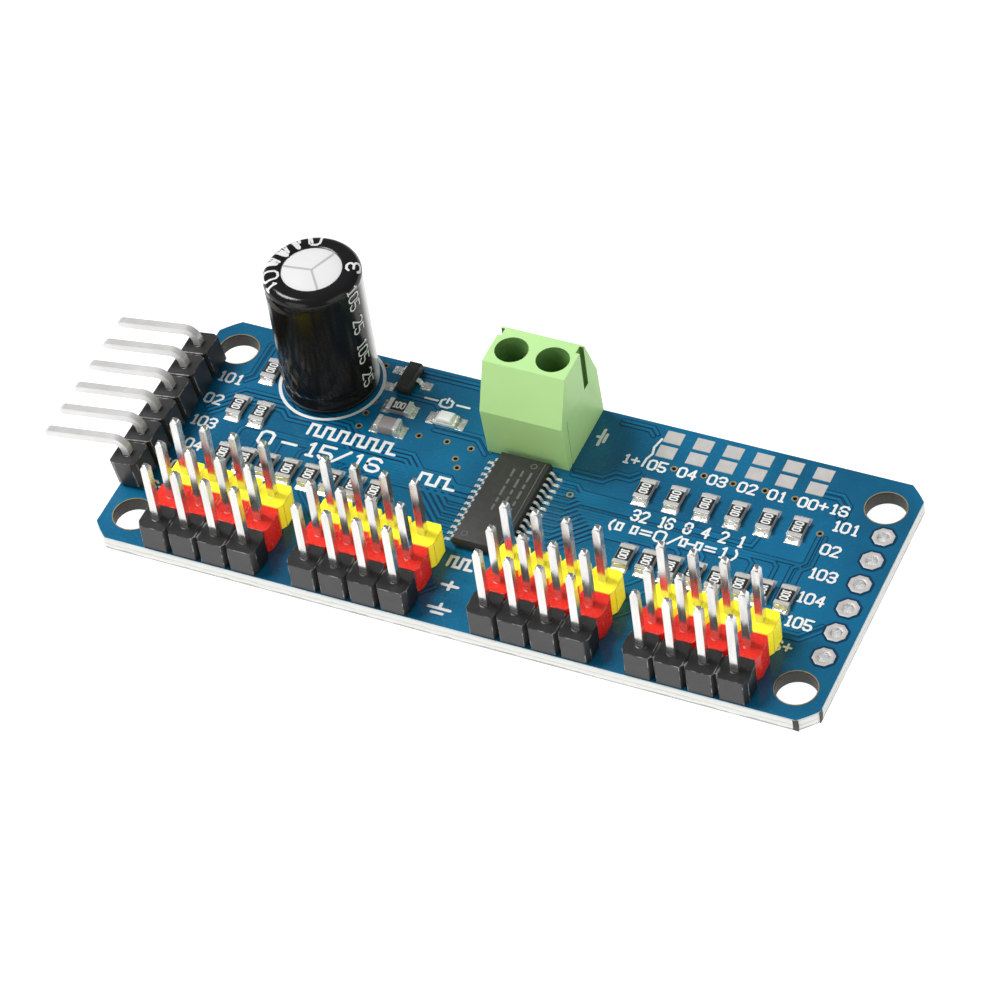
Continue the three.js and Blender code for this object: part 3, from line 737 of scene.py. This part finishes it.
def build_legend():
    """Printed numbers and signs, and the ring round the capacitor, which stops short of the board's edge."""
    shape = Shape()
    lay = flat_at(INK_Z)
    bold = legend(["wave"] * 3, -18.5, 2.7, 1.3, width=0.98, gap=0)
    for glyphs, left, base, height, width in (
            ("0", -22.0, 0.55, 1.35, 0.8), ("-", -20.0, 0.55, 1.35, 0.9), ("15", -17.9, 0.55, 1.35, 0.8),
            ("/", -15.3, 0.55, 1.35, 0.8), ("16", -13.8, 0.55, 1.35, 0.8), (["wave"], -7.9, 0.68, 1.2, 1.28),
            (["wave"], -2.05, -6.6, 1.15, 0.88), ("+", -1.6, -9.1, 1.2, 1.1),
            (["ground"], -1.7, -11.8, 1.4, 1.3)):
        bold += legend(glyphs, left, base, height, width=width)
    bold += legend(["ground"], 4.75, 8.75, 1.0, width=1.7, turn=90)
    strokes(shape, bold, BOLD, lay)
    fine = legend("-", -11.1, 8.8, 0.9, width=1.2) + legend(["power"], -9.7, 8.75, 1.0, width=1.0)
    fine += legend("-", -8.3, 8.8, 0.9, width=1.2) + legend("1+", 6.6, 7.7, 0.85, width=0.7)
    fine += [[(8.3, 7.75), (8.35, 8.6), (8.6, 9.2), (8.45, 9.9), (8.7, 10.9)]]
    for i, digit in enumerate("543210"):
        fine += legend("0" + digit, 8.75 + 2.52 * i, 7.62, 0.95)
    fine += legend("+16", 23.0, 7.7, 0.95, width=0.68) + legend("32 16 8 4 2 1", 9.6, 2.25, 1.05, width=0.5)
    fine += legend(["(", "open", "=", "0", "/", "closed", "=", "1", ")"], 7.9, 0.78, 1.05, width=0.79)
    for i, mark in enumerate(HEADER_MARKS):
        for left, level in ((24.75, 6.1), (-28.15, 5.9)):
            fine += legend(mark, left, level - 2.53 * i, 0.98, width=0.6)
    strokes(shape, fine, REGULAR, lay)
    capacitor = centre_mm("capacitor_sleeve")
    radius, steps = CAPACITOR_RING, 72
    reach = math.degrees(math.asin((WIDTH / 2 - 0.25 - capacitor.y) / radius))
    turn = [math.radians(180 - reach + k * (180 + 2 * reach) / steps) for k in range(steps + 1)]
    arc = [(capacitor.x + radius * math.cos(a), capacitor.y + radius * math.sin(a)) for a in turn]
    strokes(shape, [arc], BOLD, lay)
    make("board_legend", shape, [INK])


def build_break_marks():
    """Rough grey marks left on the cut edge at the near right corner."""
    shape = Shape()
    for x, y, turn in ((29.0, -12.47, 0), (30.47, -11.0, 90)):
        part = Shape()
        part.loft([
            [(-0.24, -0.035, 0.05), (0.22, -0.035, 0.02), (0.24, 0.05, 0.02), (-0.24, 0.05, 0.05)],
            [(-0.21, -0.045, 0.6), (0.25, -0.04, 0.55), (0.25, 0.05, 0.55), (-0.21, 0.05, 0.6)],
            [(-0.25, -0.03, TOP - 0.03), (0.21, -0.035, TOP), (0.21, 0.05, TOP), (-0.25, 0.05, TOP - 0.03)],
        ])
        part.moved(shift(x, y) @ turned(turn))
        shape.add(part.points, part.faces)
    make("break_marks", shape, [HOLE_WALL], bevel=0.01)


def solder_cone(shape, x, y, size):
    """Solder round a tail under the board, drawn out to a blunt tip."""
    profile = [(0.0, -1.1), (0.4, -1.1), (0.44, -0.9), (0.5, -0.6), (0.62, -0.35), (0.8, -0.15),
               (0.95, -0.02), (0.95, 0.0)]
    shape.lathe([(radius * size, z) for radius, z in profile], x, y, 16)


def build_underside():
    """Solder on every tail. Each spot is its place and the size of its cone."""
    shape = Shape()
    spots = []
    for block in BLOCKS:
        for row in ROWS:
            low, high = box_mm(f"servo_header_{block}_{row}")
            spots += [(low.x + PITCH * (c + 0.5), (low.y + high.y) / 2, 1.0) for c in CHANNELS]
    for i in range(1, 7):
        low, high = box_mm(f"control_pin_{i}")
        spots.append((high.x - PIN / 2, (low.y + high.y) / 2, 1.0))
    capacitor = centre_mm("capacitor_core")
    spots += [(capacitor.x + side * CAPACITOR_LEAD, capacitor.y, 1.0) for side in (-1, 1)]
    for side in ("left", "right"):
        low, high = box_mm(f"terminal_contact_{side}")
        spots.append(((low.x + high.x) / 2, low.y + CONTACT_THICK / 2, 1.25))
    for x, y, size in spots:
        solder_cone(shape, x, y, size)
    make("solder_joints", shape, [SOLDER], smooth=40)


build_board()
build_pads()
build_tracks()
build_legend()
build_break_marks()
build_underside()

# ---------- pin headers ----------
CELL_HEIGHT, CELL_DEPTH = 2.5, 2.5
NOTCH, NOTCH_DEPTH, GROOVE = 0.28, 0.48, 0.13
CONTROL_LEAN = 9.6  # degrees


def header_housing(count):
    """A row of moulded cells along X, notched on both sides and grooved on top where two cells meet."""
    shape = Shape()
    bottom, top = TOP + 0.02, TOP + CELL_HEIGHT
    waist, full = CELL_DEPTH / 2 - NOTCH_DEPTH, CELL_DEPTH / 2
    part_way = waist + NOTCH_DEPTH * GROOVE / NOTCH
    sections = []
    for i in range(count):
        left, right = (i - 0.5) * PITCH, (i + 0.5) * PITCH
        if i == 0:
            sections.append((left, waist, 0.0))
        sections += [(left + GROOVE, part_way, 0.0), (left + NOTCH, full, 0.0), (right - NOTCH, full, 0.0),
                     (right - GROOVE, part_way, 0.0), (right, waist, GROOVE if i + 1 < count else 0.0)]
    shape.loft([[(x, -d, bottom), (x, d, bottom), (x, d, top - dip), (x, -d, top - dip)]
                for x, d, dip in sections])
    return shape


def square_pin(x, y, bottom, top):
    """A pin that narrows at both ends."""
    shape = Shape()
    levels = ((bottom, 0.26), (bottom + 0.25, PIN / 2), (top - 0.35, PIN / 2), (top, 0.17))
    shape.loft([rectangle(x, y, half, half, z) for z, half in levels])
    return shape


def collar(shape, x, y):
    """The low moulded rim round a pin where it leaves its cell."""
    z = TOP + CELL_HEIGHT
    profile = [(0.30, z - 0.1), (0.52, z), (0.47, z + 0.035), (0.36, z + 0.045), (0.30, z + 0.02)]
    shape.lathe(profile, x, y, 12)


# Each plastic's second finish goes on its rounded edges: partly wear, partly a painted edge highlight.
PLASTICS = {"ground": (BLACK, BLACK_EDGE_WEAR_AND_HIGHLIGHT, "black_plastic"), "power": (RED, RED_EDGE_WEAR_AND_HIGHLIGHT, "red_plastic"),
            "signal": (YELLOW, YELLOW_EDGE_WEAR_AND_HIGHLIGHT, "yellow_plastic")}


def build_servo_headers():
    for block in BLOCKS:
        for row in ROWS:
            node = f"servo_header_{block}_{row}"
            low, high = box_mm(node)
            first, y = low.x + PITCH / 2, (low.y + high.y) / 2
            *surfaces, slot = PLASTICS[row]
            shape = header_housing(len(CHANNELS)).moved(shift(first, y))
            make(f"servo_housing_{block}_{row}", shape, surfaces, bevel=0.04, steps=1, smooth=15,
                 edge_paint=1, replaces=(node,))
            collars = Shape()
            for channel in CHANNELS:
                x = first + PITCH * channel
                collar(collars, x, y)
                pin = square_pin(x, y, -TAIL, high.z)
                make(f"servo_pin_{block}_{row}_{channel + 1}", pin, [TIN], bevel=0.022, steps=1)
            make(f"servo_collars_{block}_{row}", collars, surfaces[:1], smooth=50)


def build_control_header():
    """The header leans out over the edge, so it is built upright, turned and stood on its lower edge."""
    low, high = box_mm("control_header_housing")
    lean = math.radians(CONTROL_LEAN)
    half = CELL_DEPTH / 2
    foot = Vector((high.x - half * math.cos(lean), low.y + PITCH / 2, low.z + half * math.sin(lean)))
    turn = shift(*foot) @ turned(-CONTROL_LEAN, "Y") @ shift(0, 0, -TOP) @ turned(90)
    shape = header_housing(6).moved(turn)
    # The rounded edges take the paler finish: partly wear, partly a painted edge highlight.
    make("control_housing", shape, [BLACK, BLACK_EDGE_WEAR_AND_HIGHLIGHT], bevel=0.04, steps=1, smooth=15,
         edge_paint=1, replaces=("control_header_housing",))
    collars = Shape()
    for i in range(6):
        collar(collars, PITCH * i, 0)
        softened(f"control_pin_finish_{i + 1}", f"control_pin_{i + 1}", [PIN_TIN], 0.022,
                 steps=1)
    make("control_collars", collars.moved(turn), [BLACK], smooth=50)


build_servo_headers()
build_control_header()

# ---------- screw terminal ----------
BORE_RADIUS, BORE_RIM = 1.36, 0.05
SLOT_Y, SLOT_HALF, SLOT_DEPTH, SKIN = 10.1, 0.39, 0.35, 0.03


def painted_shade_or_plain(centre):
    """Which finish a face of the terminal takes: a darker green, painted shade, inside the screw bores and
    the side slots.
    """
    low, high = box_mm("terminal_housing")
    for side in ("left", "right"):
        screw = centre_mm(f"terminal_screw_{side}")
        if math.hypot(centre.x - screw.x, centre.y - screw.y) < BORE_RADIUS and centre.z < high.z - BORE_RIM:
            return 1
    into_side = min(centre.x - low.x, high.x - centre.x)
    beside_slot = SKIN < into_side < SLOT_DEPTH and centre.z < high.z - SKIN
    return int(beside_slot and abs(centre.y - SLOT_Y) < SLOT_HALF)


def build_terminal():
    # The faces in the screw bores and side slots take the darker green as painted shade.
    softened("terminal_block", "terminal_housing", [GREEN, GREEN_RECESS_SHADE], 0.05, smooth=19,
             paint=painted_shade_or_plain)
    for side in ("left", "right"):
        softened(f"terminal_screw_head_{side}", f"terminal_screw_{side}", [STEEL], 0.05)
        softened(f"terminal_clamp_{side}", f"terminal_cage_{side}", [STEEL], 0.05)
        softened(f"terminal_strip_{side}", f"terminal_contact_{side}", [TIN], 0.04)


build_terminal()

# ---------- electrolytic capacitor ----------
SHOULDER, WINDOW = 0.75, 2.45  # radius of the sleeve's rounded shoulder, and of the opening in its top
PRINT_LIFT = 0.012  # of the print above the sleeve


def hump(value, middle, half):
    """One in the middle, falling smoothly to nought half a width away."""
    return max(0.0, math.cos(math.pi / 2 * min(1.0, abs(value - middle) / half))) ** 2


def shrink_marks(angle, z, top):
    """Creases that the film took when it shrank, under the shoulder and above the foot."""
    front = hump(math.degrees(angle - 2 * math.pi), -128, 62)
    crease = -0.17 * front * hump(z, top - 1.35, 0.32)
    waist = -0.10 * hump(z, TOP + 1.5, 0.6)
    ripples = 0.05 * math.sin(26 * angle + 1.3 * z) * math.sin(2.6 * z) * front * hump(z, TOP + 3.0, 3.0)
    return crease + waist + ripples


def build_capacitor_sleeve(x, y, radius, top):
    """The film: a foot drawn in under the can, a creased side, and a round shoulder with an opening."""
    film = banded_film("black_film", x, y, start=1, end=72, soft=15)
    curve = [(radius - SHOULDER + SHOULDER * math.cos(math.radians(a)),
              top - SHOULDER + SHOULDER * math.sin(math.radians(a))) for a in range(0, 91, 10)]
    foot, neck, steps = TOP + 0.6, top - SHOULDER - 0.1, 56
    profile = [(2.6, TOP + 0.02), (radius - 0.5, TOP + 0.02), (radius - 0.24, TOP + 0.1),
               (radius - 0.1, TOP + 0.3)]
    profile += [(radius - 0.03, foot + (neck - foot) * i / steps) for i in range(steps + 1)]
    shoulder_row = len(profile) - 1
    profile += curve + [(WINDOW + 0.12, top), (WINDOW, top - 0.05), (WINDOW, top - 0.14)]
    sleeve = Shape()
    sleeve.lathe(profile, x, y, 220, lambda row: int(row >= shoulder_row),
                 warp=lambda angle, z: shrink_marks(angle, z, top))
    make("capacitor_film", sleeve, [film, FILM_TOP], smooth=50, replaces=("capacitor_sleeve",))


def build_capacitor_can(x, y, radius, top):
    """The can, with three scored lines that meet in the middle of its top."""
    can = Shape()
    plane = top - 0.12
    can.lathe([(radius - 0.4, TOP + 0.45), (radius - 0.32, TOP + 0.5), (radius - 0.32, top - 0.95),
               (radius - 0.6, top - 0.4), (WINDOW + 0.15, plane - 0.02), (0.0, plane)], x, y, 96)
    turns = [math.radians(angle) for angle in (187, 67, -53)]
    scores = [[(x, y), (x + 2.3 * math.cos(turn), y + 2.3 * math.sin(turn))] for turn in turns]
    strokes(can, scores, 0.17, flat_at(plane + 0.012), 1)
    make("capacitor_top", can, [ALUMINIUM, SCORE], smooth=50, replaces=("capacitor_can",))


def build_capacitor_print(x, y, radius, top):
    """Figures wrapped round the sleeve, and bars on its shoulder."""
    shape = Shape()
    middle = radius - SHOULDER

    def on_side(u, v, raised):
        """u runs round at the full radius and v is the height; the point follows the shoulder's curve."""
        angle = u / radius
        over = max(0.0, v - (top - SHOULDER))
        r = radius - SHOULDER + math.sqrt(SHOULDER ** 2 - over ** 2) + PRINT_LIFT + raised
        return (x + r * math.cos(angle), y + r * math.sin(angle), v)

    def on_shoulder(u, v, raised):
        """v runs inwards over the shoulder from its outer edge; u runs round at the middle of the ring."""
        angle = u / middle
        bend = SHOULDER * math.pi / 2
        if v < bend:
            tilt = v / SHOULDER
            r = middle + (SHOULDER + PRINT_LIFT + raised) * math.cos(tilt)
            z = top - SHOULDER + (SHOULDER + PRINT_LIFT + raised) * math.sin(tilt)
        else:
            r = middle - (v - bend)
            z = top + PRINT_LIFT + raised
        return (x + r * math.cos(angle), y + r * math.sin(angle), z)

    side_lines = legend("105 25 105 25", math.radians(-19) * radius, top - 0.3, 1.12, width=0.54, turn=-90)
    strokes(shape, finer(side_lines), 0.13, on_side)
    for outer, inner, width, start, end in ((119, 114, 0.28, 0.1, 1.5), (130, 132, 0.22, 0.1, 1.2),
                                            (141, 137, 0.45, 0.0, 1.7), (150, 156, 0.30, 0.1, 1.6),
                                            (165, 163, 0.60, 0.0, 1.65), (177, 182, 0.32, 0.1, 1.6),
                                            (190, 187, 0.50, 0.0, 1.4)):
        bar = []
        for k in range(7):
            angle = math.radians(outer + (inner - outer) * k / 6)
            bar.append((angle * middle, start + (end - start) * k / 6))
        strokes(shape, [bar], width, on_shoulder)
    for glyph, angle, height in (("3", 14, 1.15), ("0", 101, 1.3), ("0", 203, 1.3), ("1", 225, 0.9)):
        mark = legend(glyph, math.radians(angle) * middle, 0.42, height, width=0.72)
        strokes(shape, finer(mark), 0.2, on_shoulder)
    make("capacitor_print", shape, [FILM_PRINT], smooth=60)


def build_capacitor():
    low, high = box_mm("capacitor_sleeve")
    x, y, radius = (low.x + high.x) / 2, (low.y + high.y) / 2, (high.y - low.y) / 2
    for build in (build_capacitor_sleeve, build_capacitor_print, build_capacitor_can):
        build(x, y, radius, high.z)
    softened("capacitor_seal", "capacitor_core", [RUBBER, SATIN_TIN], 0.04,
             paint=lambda centre: int(centre.z < TOP))


build_capacitor()


# ---------- chips ----------
def gull_wing(shape, x, y, side, exit_z, start, span, foot, width, thick):
    """A lead that leaves a body, bends down and stands on its foot. Lengths run outwards from x."""
    heel = span - foot
    path = [(start, exit_z), (heel - 0.28, exit_z), (heel - 0.14, exit_z - 0.06),
            (heel - 0.02, exit_z * 0.45 + 0.03), (heel + 0.06, thick / 2 + 0.02), (heel + 0.2, thick / 2),
            (span, thick / 2)]
    upper, lower = [], []
    for i, point in enumerate(path):
        before, after = path[max(i - 1, 0)], path[min(i + 1, len(path) - 1)]
        along = (Vector(after) - Vector(before)).normalized()
        normal = Vector((-along.y, along.x)) * thick / 2
        upper.append(Vector(point) + normal)
        lower.append(Vector(point) - normal)
    shape.run_y([(x + side * p.x, TOP + p.y) for p in lower + upper[::-1]], y, width, 0, side)


def solder_toe(shape, x, y, side, reach, width):
    """A low wedge of solder beyond a lead's toe."""
    outline = [(x, TOP), (x + side * reach, TOP), (x + side * reach, TOP + 0.03),
               (x + side * reach * 0.45, TOP + 0.07), (x, TOP + 0.17)]
    shape.run_y(outline, y, width, 1, side)


def build_driver_chip():
    chip = centre_mm("driver_chip")
    width, length, bottom, top = 4.4, 9.7, TOP + 0.1, TOP + 1.1
    waist = bottom + 0.45
    shape = Shape()
    shape.loft([rectangle(chip.x, chip.y, width / 2 - inset_by, length / 2 - inset_by, z)
                for inset_by, z in ((0.09, bottom), (0.0, waist), (0.0, waist + 0.1), (0.1, top))])
    make("driver_chip_body", shape, [MOULD], bevel=0.04, replaces=("driver_chip",))
    leads = Shape()
    for y in lead_levels(chip):
        for side in (-1, 1):
            gull_wing(leads, chip.x, y, side, exit_z=0.62, start=width / 2 - 0.1, span=3.14, foot=0.55,
                      width=0.25, thick=0.13)
            solder_toe(leads, chip.x + side * 3.0, y, side, reach=0.22, width=0.3)
    make("driver_chip_leads", leads, [SATIN_TIN, SOLDER], bevel=0.02, steps=1)
    marks = Shape()
    lay = flat_at(top + 0.004)
    edge = chip.x + 1.72
    strokes(marks, [[(edge, chip.y - length / 2 + 0.25), (edge, chip.y + length / 2 - 0.25)]], 0.06, lay)
    for offset, dashes in ((1.05, (0.9, 0.35, 0.7, 0.35, 0.5, 0.9)), (0.35, (0.5, 0.8, 0.35, 1.1)),
                           (-0.4, (0.7, 0.4, 0.9, 0.3, 0.5))):
        y = chip.y + 3.3
        for dash in dashes:
            strokes(marks, [[(chip.x + offset, y), (chip.x + offset, y - dash)]], 0.2, lay)
            y -= dash + 0.4
    for x, y, radius in ((0.95, 4.05, 0.24), (-1.4, -4.1, 0.25)):
        ring = circle(chip.x + x, chip.y + y, radius, 12)
        strokes(marks, [ring + ring[:1]], 0.07, lay)
    make("driver_chip_marks", marks, [FAINT])


def build_transistor():
    """A moulding with one lead on its right and two on its left."""
    middle = centre_mm("transistor")
    shape = Shape()
    shape.loft([rectangle(middle.x, middle.y, w, d, TOP + z)
                for w, d, z in ((0.6, 1.4, 0.06), (0.65, 1.45, 0.45), (0.65, 1.45, 0.55), (0.52, 1.36, 1.0))])
    make("transistor_body", shape, [MOULD], bevel=0.05, replaces=("transistor",))
    leads = Shape()
    for side, offset in ((1, 0.0), (-1, 0.95), (-1, -0.95)):
        y = middle.y + offset
        gull_wing(leads, middle.x, y, side, exit_z=0.5, start=0.5, span=1.4, foot=0.42, width=0.42,
                  thick=0.14)
        solder_toe(leads, middle.x + side * 1.3, y, side, reach=0.5, width=0.7)
        leads.block(middle.x + side * 1.45, y, 0.9, 0.85, TOP, TOP + 0.035, 1, draft=0.02)
    make("transistor_leads", leads, [SATIN_TIN, SOLDER], bevel=0.025, steps=1)


# ---------- chip resistors and small parts ----------
SMALL_WIDTH, SMALL_HALF = 1.22, 1.0  # of a small part's end caps, across it and from its middle to an end
CAP, REACH = 0.38, 0.5  # how far a cap wraps a part, and how far its solder reaches beyond


def cap_and_solder(part, height, metal):
    """End caps that wrap the ends of a part along X, each with a hollow fillet of solder and its pad."""
    for side in (-1, 1):
        part.block(side * (SMALL_HALF - CAP / 2), 0, CAP, SMALL_WIDTH + 0.03, TOP + 0.02,
                   TOP + height + 0.05, metal)
        tip = SMALL_HALF + REACH
        outline = [(SMALL_HALF - 0.05, TOP), (tip, TOP), (tip, TOP + 0.05),
                   (SMALL_HALF + REACH * 0.55, TOP + 0.10), (SMALL_HALF + REACH * 0.25, TOP + height * 0.36),
                   (SMALL_HALF + 0.03, TOP + height * 0.78), (SMALL_HALF - 0.05, TOP + height * 0.8)]
        part.run_y([(side * x, z) for x, z in outline], 0, SMALL_WIDTH - 0.12, metal + 1, side)
        part.block(side * (SMALL_HALF + REACH / 2 - 0.12), 0, REACH + 0.25, SMALL_WIDTH + 0.14, TOP,
                   TOP + 0.05, metal + 1, draft=0.03)


def chip_part(code):
    """A chip resistor along X with a printed code."""
    part = Shape()
    part.block(0, 0, 1.96, 1.22, TOP + 0.03, TOP + 0.46, 0)
    part.block(0.02, 0.0, 1.26, 1.17, TOP + 0.44, TOP + 0.5, 1, draft=0.02)
    cap_and_solder(part, 0.5, 2)
    lines = legend(code, -0.49, -0.31, 0.62, width=0.42)
    strokes(part, lines, 0.125, flat_at(TOP + 0.506), 4)
    return part


RESISTOR_SURFACES = [ALUMINA, GLAZE, SATIN_TIN, SOLDER, INK]


def build_resistors():
    parts = [(f"series_resistor_{i}", "100", -90) for i in range(1, 17)]
    parts += [(f"address_resistor_{i}", "010", -90) for i in range(1, 7)]
    parts += [(f"pull_up_resistor_{i}", "010", -90) for i in range(1, 4)]
    for node, code, turn in parts + [("led_resistor", "100", 0)]:
        middle = centre_mm(node)
        seat = shift(middle.x, middle.y) @ turned(turn)
        make(node + "_chip", chip_part(code).moved(seat), RESISTOR_SURFACES, bevel=0.03,
             steps=1, replaces=(node,))


def build_small_parts():
    middle = centre_mm("ceramic_capacitor")
    part = Shape()
    part.block(0, 0, 1.96, 1.2, TOP + 0.03, TOP + 0.84, 0)
    cap_and_solder(part, 0.85, 1)
    make("ceramic_capacitor_chip", part.moved(shift(middle.x, middle.y)), [CERAMIC, SATIN_TIN, SOLDER],
         bevel=0.04, replaces=("ceramic_capacitor",))

    middle = centre_mm("power_led")
    led = Shape()
    led.block(0, 0, 1.95, 1.2, TOP + 0.02, TOP + 0.33, 0)
    dome = [(0.68, 0.56, 0.30), (0.66, 0.54, 0.52), (0.58, 0.48, 0.66), (0.42, 0.34, 0.73), (0.2, 0.16, 0.75)]
    led.loft([rectangle(0, 0, w, d, TOP + z) for w, d, z in dome], 1)
    for side in (-1, 1):
        led.block(side * 1.3, 0, 0.72, 1.3, TOP, TOP + 0.06, 2, draft=0.03)
        led.block(side * 0.92, 0, 0.2, 1.1, TOP + 0.05, TOP + 0.37, 2)
    make("power_led_lens", led.moved(shift(middle.x, middle.y)), [LENS, LENS, SOLDER], bevel=0.04,
         smooth=60, replaces=("power_led",))


build_driver_chip()
build_transistor()
build_resistors()
build_small_parts()


# ---------- stage, lights and camera ----------
FLOOR_GAP = 0.02  # keeps the floor clear of the cut pin tips
FLOOR_HALF = 2.0  # metres
FLOOR_GLOW, WORLD_GLOW = 0.95, 0.23
LIGHTS = (("key", (-0.515, 0.01, 0.857), 1.2, 0.5, 12.6),  # direction, distance and size in metres, watts
          ("front", (-0.25, -0.93, 0.38), 1.0, 0.8, 2.5),
          ("side", (0.88, -0.25, 0.4), 1.0, 0.8, 1.9))
AZIMUTH, ELEVATION, ROLL = math.radians(30.307), math.radians(46.828), math.radians(-8.886)
CAMERA_PLACE = Vector((120.76, -207.18, 258.19))
FOCAL_LENGTH, SENSOR_WIDTH = 162.78, 36


def build_stage():
    mesh = bpy.data.meshes.new("floor")
    corners = rectangle(0, 0, FLOOR_HALF, FLOOR_HALF, -(TAIL + FLOOR_GAP) * MM)
    mesh.from_pydata(corners, [], [(0, 1, 2, 3)])
    pale = surface("pale_floor", (0.36, 0.36, 0.36), shade=0.99, patches=4, grain=600, rough=(0.8, 0.9),
                   specular=0.0, relief=0.02)
    glow = pale.node_tree.nodes["Principled BSDF"].inputs
    glow["Emission Color"].default_value = (1, 1, 1, 1)
    glow["Emission Strength"].default_value = FLOOR_GLOW
    mesh.materials.append(pale)
    floor = add_object("floor", mesh)


def build_lights():
    world = bpy.data.worlds.new("studio")
    bpy.context.scene.world = world
    world.use_nodes = True
    sky = world.node_tree.nodes["Background"].inputs
    sky["Color"].default_value = (1, 1, 1, 1)
    sky["Strength"].default_value = WORLD_GLOW
    for name, direction, distance, size, watts in LIGHTS:
        light = bpy.data.lights.new(name, "AREA")
        light.shape = "DISK"
        light.size = size
        light.energy = watts
        lamp = add_object(name, light)
        lamp.location = Vector(direction).normalized() * distance
        lamp.rotation_euler = Vector(direction).to_track_quat("Z", "Y").to_euler()


def build_camera():
    """Looks down on the servo headers from the front, with a small roll."""
    back = Vector((math.sin(AZIMUTH) * math.cos(ELEVATION), -math.cos(AZIMUTH) * math.cos(ELEVATION),
                   math.sin(ELEVATION)))
    right = (-back).cross(Vector((0, 0, 1))).normalized()
    up = right.cross(-back)
    right, up = right * math.cos(ROLL) + up * math.sin(ROLL), up * math.cos(ROLL) - right * math.sin(ROLL)
    data = bpy.data.cameras.new("camera")
    data.sensor_width = SENSOR_WIDTH
    data.lens = FOCAL_LENGTH
    data.clip_start = 0.01
    camera = add_object("camera", data)
    matrix = Matrix((right, up, back)).transposed().to_4x4()
    matrix.translation = CAMERA_PLACE * MM
    camera.matrix_world = matrix
    bpy.context.scene.camera = camera


build_stage()
build_lights()
build_camera()
bpy.context.scene.view_settings.view_transform = "Standard"
